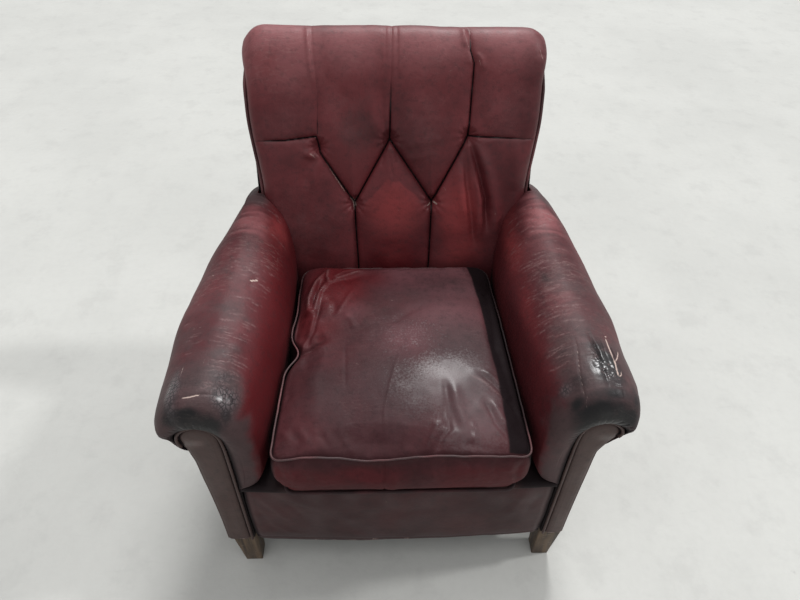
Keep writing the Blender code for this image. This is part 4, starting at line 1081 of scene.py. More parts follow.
# Each arm's own amounts, then its marks in metres round the roll and depth: lines and soft patches
armMarks = {
    "left": {
        "seeds": (14, 21), "gathers": 0.0009, "band": 1.0, "redShare": 1.0, "redDepth": 1.0,
        "frontWear": (0.23, 0.33), "rearWear": (0.285, 0.345),
        "grooves": [(((0.3965, -0.3704), (0.3832, -0.3679), (0.3628, -0.3665), (0.3446, -0.3623),
                      (0.3212, -0.359)), 0.0022, -0.0013),
                    (((0.39, -0.3935), (0.35, -0.3945), (0.3132, -0.3935)), 0.006, -0.0012),
                    (((0.3077, -0.065), (0.3151, -0.09), (0.3175, -0.111)), 0.006, -0.0009)],
        "pale": [(((0.3832, -0.3679), (0.3628, -0.3662), (0.3446, -0.3623)), 0.0011, 1.1),
                 (((0.303, -0.074), (0.312, -0.08), (0.321, -0.086)), 0.002, 1.1),
                 (((0.399, -0.072), (0.404, -0.064)), 0.0016, 0.55),
                 (((0.396, -0.296), (0.394, -0.312), (0.396, -0.326)), 0.0012, 0.5),
                 (((0.356, -0.27), (0.357, -0.29), (0.355, -0.308)), 0.001, 0.4),
                 (((0.38, -0.216), (0.393, -0.214), (0.405, -0.218)), 0.0011, 0.46)],
        "dark": [],
        "crackled": [((0.404, -0.348), (0.014, 0.033), 1.3), ((0.302, -0.358), (0.025, 0.02), 1.4),
                     ((0.315, -0.325), (0.018, 0.015), 0.6)],
        "polished": [((0.302, -0.36), (0.026, 0.02), 1.1), ((0.404, -0.35), (0.016, 0.036), 1.3),
                     ((0.312, -0.26), (0.016, 0.1), 0.5)],
        "charcoal": [((0.338, -0.26), (0.018, 0.07), 0.45),
                     ((0.326, -0.15), (0.015, 0.05), 0.3), ((0.37, -0.33), (0.05, 0.033), 0.45),
                     ((0.415, -0.38), (0.02, 0.02), 0.55), ((0.295, -0.378), (0.018, 0.014), 0.7),
                     ((0.325, -0.325), (0.035, 0.03), 0.45)],
        "rim": 1.0,
        "bright": [((0.275, 0.095), (0.045, 0.055), 0.7), ((0.305, 0.02), (0.028, 0.08), 0.28)],
        "buckled": [((0.3, -0.356), (0.02, 0.016), 0.35)],
        "hazed": [((0.325, 0.095), (0.095, 0.05), 1.4), ((0.31, 0.03), (0.035, 0.05), 0.25),
                  ((0.315, -0.21), (0.018, 0.12), 0.35), ((0.41, -0.18), (0.03, 0.12), 0.3)],
        "creases": creaseLines(71, 70, (0.292, 0.345), (-0.35, -0.13), (0.012, 0.034))
        + creaseLines(72, 40, (0.285, 0.38), (-0.12, 0.0), (0.012, 0.034))
        + creaseLines(73, 40, (0.27, 0.4), (0.05, 0.16), (0.02, 0.06), (0.15, 0.45))
        + creaseLines(74, 12, (0.37, 0.42), (-0.3, -0.12), (0.01, 0.026)),
    },
    "right": {
        "seeds": (15, 22), "gathers": 0.0017, "band": 1.12, "redShare": 0.8, "redDepth": 0.62,
        "frontWear": (0.17, 0.28), "rearWear": (0.33, 0.39),
        "grooves": [(((0.396, -0.243), (0.3966, -0.257), (0.3954, -0.279), (0.3945, -0.298),
                      (0.3911, -0.322), (0.388, -0.337)), 0.0042, -0.0016),
                    (((0.42, -0.264), (0.414, -0.277), (0.405, -0.29), (0.395, -0.302)), 0.0036, -0.0012),
                    (((0.362, -0.236), (0.3647, -0.269), (0.3647, -0.304), (0.3629, -0.336),
                      (0.3598, -0.361)), 0.0034, -0.0024),
                    (((0.368, -0.24), (0.37, -0.29), (0.369, -0.34)), 0.004, 0.001),
                    (((0.3837, -0.247), (0.3807, -0.284), (0.3807, -0.313), (0.3862, -0.341)), 0.0028,
                     -0.0018),
                    (((0.3335, -0.242), (0.3304, -0.276), (0.3212, -0.319), (0.3157, -0.357),
                      (0.3151, -0.372)), 0.0018, -0.0007),
                    (((0.3598, -0.352), (0.374, -0.356), (0.39, -0.358)), 0.003, -0.0011),
                    (((0.27, -0.318), (0.295, -0.312), (0.319, -0.311)), 0.0022, -0.0006),
                    (((0.348, -0.298), (0.36, -0.302)), 0.0024, -0.0007),
                    (((0.347, -0.32), (0.36, -0.324)), 0.0024, -0.0007),
                    (((0.366, -0.315), (0.379, -0.319)), 0.0024, -0.0008),
                    (((0.366, -0.334), (0.381, -0.339)), 0.0024, -0.0008)],
        "pale": [(((0.396, -0.243), (0.3966, -0.257), (0.3954, -0.279), (0.3945, -0.298)), 0.0016, 1.05),
                 (((0.3948, -0.294), (0.393, -0.308), (0.3905, -0.322), (0.388, -0.337)), 0.0019, 1.1),
                 (((0.42, -0.264), (0.414, -0.277), (0.405, -0.29), (0.395, -0.302)), 0.0012, 0.9),
                 (((0.39, -0.336), (0.396, -0.33), (0.399, -0.32)), 0.0014, 0.8),
                 (((0.396, -0.243), (0.401, -0.24)), 0.0014, 0.9),
                 (((0.3335, -0.238), (0.3304, -0.276), (0.3212, -0.319), (0.3157, -0.357),
                   (0.3151, -0.376)), 0.001, 0.46),
                 (((0.3335, -0.232), (0.348, -0.222), (0.364, -0.22)), 0.001, 0.44),
                 (((0.313, -0.392), (0.316, -0.376), (0.323, -0.362)), 0.001, 0.4),
                 (((0.305, -0.172), (0.322, -0.166), (0.34, -0.154)), 0.0011, 0.5)],
        "dark": [(((0.4, -0.262), (0.3995, -0.28), (0.401, -0.292)), 0.0016, 0.8),
                 (((0.387, -0.3), (0.385, -0.322), (0.384, -0.336)), 0.0018, 0.8),
                 (((0.362, -0.24), (0.3647, -0.269), (0.3647, -0.304), (0.3629, -0.336), (0.3598, -0.361)),
                  0.0014, 0.75),
                 (((0.3837, -0.249), (0.3807, -0.284), (0.3807, -0.313), (0.3862, -0.339)), 0.0012, 0.7),
                 (((0.37, -0.262), (0.3735, -0.29), (0.3715, -0.32)), 0.001, 0.6),
                 (((0.354, -0.286), (0.3525, -0.318), (0.355, -0.345)), 0.001, 0.5)],
        "crackled": [((0.374, -0.335), (0.016, 0.02), 0.4), ((0.286, -0.342), (0.014, 0.011), 0.9)],
        "polished": [((0.368, -0.318), (0.024, 0.04), 1.1), ((0.286, -0.343), (0.015, 0.015), 1.1),
                     ((0.38, -0.386), (0.05, 0.01), 0.6)],
        "charcoal": [((0.35, -0.388), (0.085, 0.018), 1.15), ((0.37, -0.37), (0.05, 0.014), 0.95),
                     ((0.37, -0.31), (0.033, 0.06), 1.1), ((0.3212, -0.08), (0.011, 0.024), 0.55),
                     ((0.31, -0.34), (0.03, 0.024), 0.55), ((0.3, -0.374), (0.025, 0.014), 0.85),
                     ((0.425, -0.37), (0.025, 0.026), 0.75)],
        "rim": 1.05,
        "bright": [((0.265, 0.05), (0.038, 0.12), 0.65), ((0.268, -0.14), (0.032, 0.11), 0.5),
                   ((0.33, 0.1), (0.06, 0.05), 0.3)],
        "buckled": [((0.37, -0.308), (0.026, 0.044), 1.2), ((0.388, -0.35), (0.03, 0.016), 0.7)],
        "hazed": [((0.335, 0.095), (0.095, 0.075), 1.1), ((0.35, 0.0), (0.06, 0.07), 0.55),
                  ((0.335, -0.14), (0.04, 0.06), 0.6), ((0.295, -0.23), (0.02, 0.07), 0.3)],
        "creases": creaseLines(81, 44, (0.285, 0.375), (-0.21, -0.06), (0.02, 0.055))
        + creaseLines(82, 48, (0.275, 0.39), (-0.06, 0.13), (0.018, 0.055))
        + creaseLines(83, 20, (0.28, 0.325), (-0.3, -0.2), (0.012, 0.036))
        + creaseLines(84, 14, (0.345, 0.39), (-0.35, -0.27), (0.006, 0.014), (0.35, 0.6)),
    },
}


def makeArm(word, side):
    look = armLook
    marks = armMarks[word]
    mesh = bentGrid("armPad" + word.title(), look["columns"], look["rows"], makeArmPlacer(word, side))
    mesh = cutBy(mesh, backBlock())
    points = readPoints(mesh)
    normals = readNormals(mesh)
    around = getMask(mesh, "across") * look["columns"] / (look["columns"] - 5)
    x, y, z = np.abs(points[:, 0]), points[:, 1], points[:, 2]
    shown = around < 1.0
    flat = np.stack([around * 0.6, y], 1)
    stations = armStations(look["rows"] + 1)
    row = getMask(mesh, "along") * look["rows"]
    inMouth = row < np.argmin(stations[:, 0]) - 3
    curled = shown & (row < np.argmin(stations[:, 0]))

    creases = softNoise(np.stack([x * 0.35, y + 0.02 * softNoise(points, 0.05, 12), z * 0.35], 1),
                        (0.03, 0.0085, 0.03), 13)
    clusters = np.clip(softNoise(points, 0.09, marks["seeds"][0]) + 0.25, 0.0, 1.0)
    onTop = easeStep(z, 0.5, 0.545)
    lump = softNoise(points, 0.07, 16) * 0.0016 + softNoise(points, 0.028, 17) * 0.0005
    lump += creases * 0.0003 * clusters * onTop - strokes(flat, marks["creases"]) * 0.0009
    lump += strokes(flat, marks["grooves"])
    buckled = (np.abs(softNoise(flat, (0.006, 0.018), 19))
               + 0.6 * np.abs(softNoise(flat, (0.016, 0.005), 20)))
    lump += (0.35 - buckled) * 0.0019 * np.clip(blobs(flat, marks["buckled"]), 0.0, 1.0)
    scales = np.abs(softNoise(flat, 0.009, 24)) + np.abs(softNoise(flat, 0.007, 25))
    lump += (np.minimum(scales, 0.45) - 0.2) * 0.0005 * np.clip(blobs(flat, marks["crackled"]), 0.0, 1.0)
    angle = np.arctan2(z - 0.47, x - 0.335)
    gathers = np.maximum(0.0, np.sin(angle * 27.0 + 3.0 * softNoise(points, 0.03, 18))) ** 2
    nose = easeStep(-y, 0.376, 0.384) * easeStep(z, 0.44, 0.47) * (0.5 + 0.5 * easeStep(x, 0.33, 0.39))
    lump -= gathers * nose * curled * marks["gathers"]
    hold = (np.where(inMouth, easeStep(-y, 0.379, 0.385), 1.0) * np.where(shown, 1.0, 0.0)
            * easeStep(z, 0.316, 0.33))
    seamFade = easeStep(np.abs(z - look["seamZ"]) + np.abs(around - 1.0) * 0.5, 0.0, 0.02)
    writePoints(mesh, points + normals * (lump * hold * seamFade)[:, None])

    noise = softNoise(points, 0.06, marks["seeds"][1])
    small = softNoise(points, 0.018, 23)
    toMouth = np.where(curled, nearLine(np.stack([x, z], 1), mouthLine(word, 90))[0], 0.1)
    wander = (flat[:, 0] + 0.007 * noise + 0.004 * small
              - np.interp(y, (-0.38, -0.3, 0.0, 0.15), (-0.022, -0.006, 0.012, 0.026)))
    inner = easeStep(-wander, -0.318, -0.258)
    onNose = easeStep(flat[:, 0], 0.262, 0.292)
    band = np.interp(z, (0.33, 0.4, 0.45, 0.5), (0.036, 0.04, 0.046, 0.056)) + 0.005 * small + 0.003 * noise
    spread = np.hypot(nearLine(np.stack([x, z], 1), mouthLine(word, 60))[0],
                      0.6 * np.maximum(0.0, y - look["frontY"]))
    noseBand = np.maximum(onNose * easeStep(-y + 0.004 * small, 0.362, 0.377),
                          shown * easeStep(band * marks["band"] - spread, -0.01, 0.008))
    rubbed = ((1.0 - marks["redShare"] * inner) * (0.44 + 0.26 * noise + 0.14 * small)
              * np.interp(y, (-0.4, -0.1, 0.02, 0.08, 0.16), (1.2, 0.95, 0.5, 0.18, 0.05)))
    frontWear = easeStep(-y, *marks["frontWear"])
    rubbed = np.maximum(rubbed, (0.8 + 0.2 * noise) * np.maximum(noseBand, (1.0 - inner) * frontWear))
    behind = y + 0.016 * noise + 0.012 * small - 0.1 * np.maximum(0.0, flat[:, 0] - 0.4)
    rubbed = np.maximum(rubbed,
                        0.95 * easeStep(behind, 0.11, 0.165) * easeStep(flat[:, 0], *marks["rearWear"]))
    rim = (easeStep(-y + 0.003 * small, 0.375, 0.39) * easeStep(flat[:, 0], 0.275, 0.32)
           * (1.0 - 0.45 * easeStep(flat[:, 0], 0.4, 0.45)))
    charcoal = (np.maximum(blobs(flat, marks["charcoal"]), marks["rim"] * rim)
                * (0.85 + 0.25 * small + 0.15 * noise))
    # The haze patches are painted sheen and highlights at the rear of the roll and along the shoulder, over
    # dusty bloom
    paint(mesh, rubbed=rubbed,
          blackened=charcoal * shown,
          fresh=inner * (1.0 - noseBand) * easeStep(z, 0.32, 0.36) * (0.85 + 0.2 * noise)
          * marks["redDepth"],
          haze=blobs(flat, marks["hazed"]) * (0.8 + 0.25 * noise + 0.5 * creases) * (1.0 - 0.75 * inner),
          bright=(1.0 - noseBand) * blobs(flat, marks["bright"]) * (0.9 + 0.3 * noise),
          creased=clusters * onTop * 0.6,
          crackled=blobs(flat, marks["crackled"]) * (0.9 + 0.4 * small),
          polished=blobs(flat, marks["polished"]) * (0.9 + 0.3 * small))
    # Painted shade low on the inner face, in the gap beside the cushion
    grime = 0.9 * inner * easeStep(-z, -0.45, -0.385) * easeStep(y, -0.36, -0.32)
    grime = np.maximum(grime, strokes(flat, marks["dark"]))
    paint(mesh, grime=np.maximum(grime, 0.8 * easeStep(-toMouth, -0.011, -0.003)),
          seam=easeStep(-toMouth, -0.0052, -0.0026),
          pale=strokes(flat, marks["pale"]) * shown,
          scuffed=strokes(flat, marks["creases"]) * shown)
    smoothShade(mesh, 50)
    piece = addPiece("armPad" + word.title(), mesh, armLeather, ["arm_pad_" + word])


for word, side in sides:
    makeArm(word, side)
print("arm pads made")


# The facings: padded boards on the arm fronts, with a welt sewn between board and roll

facingLook = {
    "low": 0.1083, "welt": 0.0028, "weltInset": 0.0056, "columns": 84, "rows": 190,
    "fray": {"left": 1.0, "right": 0.35},
    "weltSide": ((0.0, 0.0012), (0.0016, 0.0021), (0.003, 0.0022), (0.0078, 0.0016), (0.0092, 0.0012),
                 (0.0104, 0.0026), (0.0124, 0.0044), (0.016, 0.0056), (0.022, 0.0064)),
    "outerSide": ((0.0, 0.0006), (0.0012, 0.0024), (0.0026, 0.0032), (0.0034, 0.0027), (0.0046, 0.004),
                  (0.0085, 0.0056), (0.015, 0.0064)),
}


def insetPath(path, amount):
    run = np.gradient(path, axis=0)
    run /= np.linalg.norm(run, axis=1)[:, None]
    return path + np.stack([run[:, 1], -run[:, 0]], 1) * amount


# The facing's inner and outer edges, both from the foot to the end of the scroll
def facingEdges(word, count):
    look, arm = facingLook, armLook
    scroll = insetPath(mouthLine(word, 90), 0.001)[:-10]
    inner = np.vstack([[(scroll[0, 0], look["low"]), (scroll[0, 0], 0.2), (scroll[0, 0], 0.29)], scroll])
    hip = [(float(sideX(word, arm["frontY"], z)) - 0.0004, z)
           for z in (look["low"], 0.18, 0.27, 0.34, 0.385)]
    outer = curveThrough(hip + [(hip[-1][0] + 0.003, 0.408),
                                (scroll[-1, 0] - 0.009, scroll[-1, 1] - 0.007), scroll[-1]], count)
    lengths = lengthsAlong(inner)
    return placesAlong(inner, lengths, np.linspace(0.0, lengths[-1], count)), outer


def makeFacing(word, side):
    look, arm = facingLook, armLook
    inner, outer = facingEdges(word, look["rows"] + 1)
    behind = arm["frontY"] + arm["facing"]

    def place(column, row):
        shown = column <= look["columns"]
        turn = np.where(shown, column / look["columns"], look["columns"] + 2 - column)
        share = 0.5 - 0.5 * np.cos(np.pi * turn)
        point = inner[row] + (outer[row] - inner[row]) * share[:, None]
        proud = np.minimum(np.interp(nearLine(point, inner)[0], *np.transpose(look["weltSide"])),
                           np.interp(nearLine(point, outer)[0], *np.transpose(look["outerSide"])))
        proud += softNoise(point, 0.04, 36) * 0.0006 * easeStep(proud, 0.003, 0.006)
        return np.stack([side * point[:, 0], np.where(shown, arm["frontY"] + 0.0026 - proud, behind),
                         point[:, 1]], 1)

    mesh = bentGrid("armFacing" + word.title(), look["columns"] + 3, look["rows"], place, angle=60)
    points = readPoints(mesh)
    flat = np.stack([np.abs(points[:, 0]), points[:, 2]], 1)
    toWelt = nearLine(flat, inner)[0]
    toSide = nearLine(flat, outer)[0]
    noise = softNoise(points, 0.05, 31)
    paint(mesh, seam=0.88 * easeStep(-toSide, -0.0044, -0.0034) * easeStep(toSide, 0.0022, 0.0032)
          * easeStep(flat[:, 1], 0.2, 0.36),
          rubbed=0.75 + 0.25 * noise)
    # Painted highlight: soft sheen under the scroll and down the face, painted lighter, with a glossier
    # coat
    shine = [((side * 0.35, -0.372, 0.45), (0.02, 0.05, 0.012), 1.2),
             ((side * 0.338, -0.372, 0.33), (0.014, 0.05, 0.08), 0.55),
             ((side * 0.325, -0.372, 0.16), (0.014, 0.05, 0.05), 0.65)]
    setMask(mesh, "haze", 0.15 + 0.35 * softNoise(points, 0.08, 32)
            + blobs(points, shine) * (0.8 + 0.5 * softNoise(points, 0.012, 37)))
    frayed = [((side * 0.3745, -0.372, 0.458), (0.005, 0.05, 0.018), 0.85),
              ((side * 0.368, -0.372, 0.48), (0.012, 0.05, 0.005), 0.6)]
    pale = blobs(points, frayed) * (0.55 + 0.8 * softNoise(points, 0.004, 33)) * look["fray"][word]
    foot = easeStep(-points[:, 2], -0.1125, -0.1095) * (0.35 + 0.3 * softNoise(points, 0.008, 38))
    paint(mesh, pale=np.maximum(pale, foot),
          polished=0.5 * blobs(points, shine),
          grime=0.96 * easeStep(-toWelt, -0.0112, -0.0098))
    addPiece("armFacing" + word.title(), mesh, darkLeather, ["arm_facing_" + word])

    welt = insetPath(mouthLine(word, 140), look["weltInset"])[:-14]
    y = arm["frontY"] - look["welt"] - clearance
    path = [(side * welt[0, 0], y, z) for z in np.linspace(look["low"], welt[0, 1], 40, endpoint=False)]
    path += [(side * x, y, z) for x, z in welt]
    cord = cordMesh("facingWelt" + word.title(), path, look["welt"])
    points = readPoints(cord)
    paint(cord, rubbed=0.7 + 0.3 * softNoise(points, 0.03, 34),
          haze=0.45 + 0.5 * softNoise(points, 0.05, 35))
    addPiece("facingWelt" + word.title(), cord, darkLeather, ["facing_welt_" + word])


def makeOutsideArm(word, side):
    low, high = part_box("outside_arm_" + word)
    arm = armLook
    front = arm["frontY"] + arm["facing"] + clearance

    def place(column, row):
        columns, rows = 70, 46
        outer = column <= columns
        t = np.where(outer, column / columns, 1.0 - (column - columns - 1) / columns)
        z = low.z + (high.z - low.z) * row / rows
        y = front + (placeOnPost(z) - clearance - front) * t
        flat = np.stack([y, z], 1)
        edge = easeStep(t, 0.0, 0.03) * easeStep(1.0 - t, 0.0, 0.03) * easeStep(z - low.z, 0.0, 0.02)
        dip = 0.0012 * edge * softNoise(flat, 0.12, 41) - 0.001 * (1.0 - edge)
        x = sideX(word, y, z) - np.where(outer, 0.0008 - dip, arm["skin"])
        return np.stack([side * x, y, z], 1)

    mesh = bentGrid("outsideArm" + word.title(), 142, 46, place, angle=60)
    points = readPoints(mesh)
    paint(mesh, rubbed=0.45 + 0.4 * softNoise(points, 0.09, 42)
          + 0.5 * easeStep(-points[:, 2], -0.16, -0.11),
          haze=0.3 + 0.4 * softNoise(points, 0.12, 43))
    addPiece("outsideArm" + word.title(), mesh, darkLeather, ["outside_arm_" + word])


makeLegs()
for word, side in sides:
    makeFacing(word, side)
    makeOutsideArm(word, side)
print("legs, facings and outside arms made")


# The stuffed border over the front rail, and the lip of the seat deck above it

borderLook = {"half": 0.2925, "bow": 0.009, "columns": 260, "rows": 74, "top": 0.298, "back": -0.3523}


def bowAt(x):
    return borderLook["bow"] * (1.0 - (x / borderLook["half"]) ** 2)


borderFolds = [
    (((-0.262, 0.275), (-0.236, 0.235), (-0.214, 0.19)), 0.009, 0.0022),
    (((-0.245, 0.287), (-0.205, 0.245), (-0.186, 0.205)), 0.008, -0.0018),
    (((-0.222, 0.29), (-0.186, 0.262), (-0.15, 0.24)), 0.01, 0.0018),
    (((-0.276, 0.24), (-0.262, 0.19), (-0.256, 0.14)), 0.008, -0.0016),
    (((-0.25, 0.18), (-0.22, 0.145), (-0.185, 0.128)), 0.01, 0.0014),
    (((-0.12, 0.262), (-0.02, 0.25), (0.08, 0.258)), 0.016, 0.0012),
    (((0.27, 0.27), (0.255, 0.23), (0.25, 0.18)), 0.01, -0.0016),
    (((0.24, 0.28), (0.225, 0.235), (0.215, 0.19)), 0.012, 0.0014),
]


def makeBorder():
    look = borderLook
    section = curveThrough(((-0.358, 0.102), (-0.368, 0.1022), (-0.3725, 0.108), (-0.3755, 0.15),
                            (-0.3775, 0.215), (-0.3765, 0.27), (-0.3725, look["top"] - 0.006),
                            (-0.365, look["top"]), (-0.358, look["top"])), look["rows"] - 1)
    section = np.vstack([section, [(look["back"], look["top"]), (look["back"], 0.102)]])

    def place(column, row):
        x = -look["half"] + 2.0 * look["half"] * row / look["columns"]
        y, z = section[column].T
        flat = np.stack([x, z], 1)
        front = easeStep(-y, 0.36, 0.37)
        z = z + 0.003 * np.sin(9.0 * x) * easeStep(-z, -0.125, -0.105)
        ends = easeStep(np.abs(x), look["half"] - 0.016, look["half"])
        proud = (strokes(flat, borderFolds) + softNoise(flat, 0.06, 51) * 0.0011
                 + softNoise(flat, 0.022, 52) * 0.0003)
        proud -= ends * 0.004 + 0.002 * np.exp(-((z - 0.113) / 0.0035) ** 2)
        return np.stack([x, y - (bowAt(x) + proud) * front, z], 1)

    mesh = bentGrid("frontBorder", look["rows"] + 1, look["columns"], place, angle=60)
    points = readPoints(mesh)
    flat = points[:, [0, 2]]
    noise = softNoise(points, 0.035, 53)
    rim = easeStep(-points[:, 2], -0.112, -0.1035)
    chips = blobs(flat, [((-0.048, 0.108), (0.013, 0.0045), 1.0), ((-0.08, 0.106), (0.006, 0.0035), 0.8),
                         ((0.016, 0.107), (0.009, 0.0035), 0.9), ((0.06, 0.105), (0.012, 0.0025), 0.8),
                         ((0.13, 0.105), (0.01, 0.002), 0.7), ((-0.032, 0.113), (0.004, 0.003), 0.9)])
    # Painted shade: the ends beside the facings and the top under the deck lip are painted dark
    paint(mesh, pale=np.maximum(chips * (0.45 + 0.55 * softNoise(points, 0.004, 54)),
                                rim * (0.28 + 0.3 * softNoise(points, 0.009, 55))),
          rubbed=0.35 + 0.35 * noise + 0.4 * easeStep(-points[:, 2], -0.15, -0.11),
          haze=0.35 * easeStep(noise, -0.2, 0.8),
          grime=0.95 * easeStep(np.abs(points[:, 0]), look["half"] - 0.01, look["half"] - 0.001)
          + 0.6 * easeStep(points[:, 2], look["top"] - 0.007, look["top"]))
    addPiece("frontBorder", mesh, borderLeather, ["front_border"])


def makeDeck():
    low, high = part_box("seat_deck")
    lip = high.z - 0.0115
    section = curveThrough(((-0.366, high.z), (-0.374, high.z), (-0.38, high.z - 0.0018),
                            (-0.3815, lip + 0.0055), (-0.3795, lip + 0.001), (-0.374, lip),
                            (-0.366, lip)), 26)
    section = np.vstack([[(high.y, low.z), (high.y, high.z)],
                         [(y, high.z) for y in np.linspace(0.2, -0.35, 24)],
                         section, [(-0.352, lip), (-0.352, low.z)]])

    def place(column, row):
        x = low.x + (high.x - low.x) * row / 120
        y, z = section[column].T
        sag = softNoise(np.stack([x, z * 3.0], 1), 0.05, 56) * 0.0007
        return np.stack([x, y - np.where(y < -0.36, bowAt(x) * 0.8 + sag, 0.0), z], 1)

    mesh = bentGrid("seatDeck", len(section), 120, place, angle=50)
    points = readPoints(mesh)
    # Painted shade: the deck top behind the cushion is painted near black, darker still below the lip, with
    # a lighter rubbed lip at the front where light falls
    lit = easeStep(-points[:, 1], 0.355, 0.372) * easeStep(-np.abs(points[:, 0]), -0.232, -0.205)
    paint(mesh, grime=0.92 - 0.5 * lit + 0.4 * easeStep(-points[:, 2], -lip - 0.004, -lip)
          + 0.1 * softNoise(points, 0.02, 57),
          rubbed=0.5 * easeStep(softNoise(points, 0.03, 58), 0.0, 1.0) * lit)
    addPiece("seatDeck", mesh, darkLeather, ["seat_deck"])


makeBorder()
makeDeck()
print("border and deck made")


# The loose seat cushion: a boxed cover over a soft filling, puffed by simulation and then creased

cushionLook = {
    "front": -0.407, "rear": 0.106, "halfFront": 0.224, "halfRear": 0.2105,
    "cornerFront": 0.024, "cornerRear": 0.04, "columns": 168, "low": seatLevel,
    "rings": (12, 34, 30), "reach": 0.22, "crownFrom": (0.945, 0.13),
    "voxel": 0.0046, "pressure": 3.0, "steps": 16, "mostMove": 0.0075, "weltRadius": 0.0033,
    "levels": ((0.895, 0.0), (0.925, 0.004), (0.945, 0.014), (0.978, 0.0377), (1.003, 0.0617),
               (1.01, 0.0857), (1.006, 0.1057), (0.994, 0.1207), (0.97, 0.13)),
    "wave": ((-0.24, -0.004), (-0.217, -0.003), (-0.182, 0.0046), (-0.143, 0.008), (-0.097, 0.0028),
             (-0.054, -0.005), (0.001, 0.001), (0.052, 0.007), (0.108, 0.0046), (0.179, 0.002),
             (0.23, -0.003)),
}


def cushionPlan(count):
    look = cushionLook
    corners = np.array(((-look["halfFront"], look["front"]), (look["halfFront"], look["front"]),
                        (look["halfRear"], look["rear"]), (-look["halfRear"], look["rear"])))
    radii = (look["cornerFront"], look["cornerFront"], look["cornerRear"], look["cornerRear"])
    path = []
    for number, corner in enumerate(corners):
        before = corners[number - 1] - corner
        after = corners[(number + 1) % 4] - corner
        start = corner + before / np.linalg.norm(before) * radii[number]
        end = corner + after / np.linalg.norm(after) * radii[number]
        for t in np.linspace(0.0, 1.0, 13):
            path.append((start * (1 - t) + corner * t) * (1 - t) + (corner * (1 - t) + end * t) * t)
    path = np.array(path + path[:1])
    lengths = lengthsAlong(path)
    return placesAlong(path, lengths, np.linspace(0.0, lengths[-1], count, endpoint=False))


def dentAt(x, y, z):
    dent = 0.02 * np.exp(-((y + 0.168) / 0.03) ** 2) + 0.004 * np.exp(-((y + 0.05) / 0.04) ** 2)
    return np.where(x < -0.12, dent, 0.0) * easeStep(z, 0.33, 0.42)


def waveAt(x, y):
    return np.interp(x, *curveThrough(cushionLook["wave"], 80).T) * easeStep(-y, 0.33, 0.4)


def crownAt(x, y):
    edge = np.maximum(np.abs(x) / 0.222, np.abs(y + 0.15) / 0.257)
    round4 = ((np.abs(x) / 0.226) ** 4 + (np.abs(y + 0.15) / 0.262) ** 4) ** 0.25
    edge = np.clip(0.35 * edge + 0.65 * round4, 0.0, 1.0)
    height = 0.4405 + 0.0245 * (1.0 - edge ** 2.6) ** 0.8
    height += 0.006 * np.exp(-((x - 0.06) / 0.11) ** 2 - ((y + 0.26) / 0.09) ** 2)
    height -= 0.008 * np.exp(-((x - 0.02) / 0.11) ** 2 - ((y - 0.03) / 0.07) ** 2)
    height -= 0.006 * np.exp(-((x + 0.13) / 0.06) ** 2 - ((y + 0.15) / 0.05) ** 2)
    return height


def placeCushion(column, row):
    look = cushionLook
    outline = cushionPlan(look["columns"])
    centre = np.array((0.0, (look["front"] + look["rear"]) / 2))
    under, around, over = look["rings"]
    reach = look["reach"]
    levels = curveThrough([(scale * reach, z) for scale, z in look["levels"]], around) / (reach, 1.0)
    edge, level = look["crownFrom"]
    bottom = np.stack([np.linspace(0.02, 0.86, under), np.zeros(under)], 1)
    crown = np.stack([np.linspace(edge, 0.02, over), np.full(over, level)], 1)
    rings = np.vstack([bottom, levels, crown])
    scale, z = rings[np.minimum(row, len(rings) - 1)].T
    point = centre + (outline[column] - centre) * scale[:, None]
    z = z + look["low"]
    x = point[:, 0] + dentAt(point[:, 0], point[:, 1], z)
    y = point[:, 1]
    onTop = row >= len(bottom) + len(levels)
    side = z + waveAt(x, y) * easeStep(z, 0.39, 0.43)
    edgeWave = waveAt(x, y) * easeStep(scale, 0.8, 0.95)
    return np.stack([x, y, np.where(onTop, crownAt(x, y) + edgeWave, side)], 1)


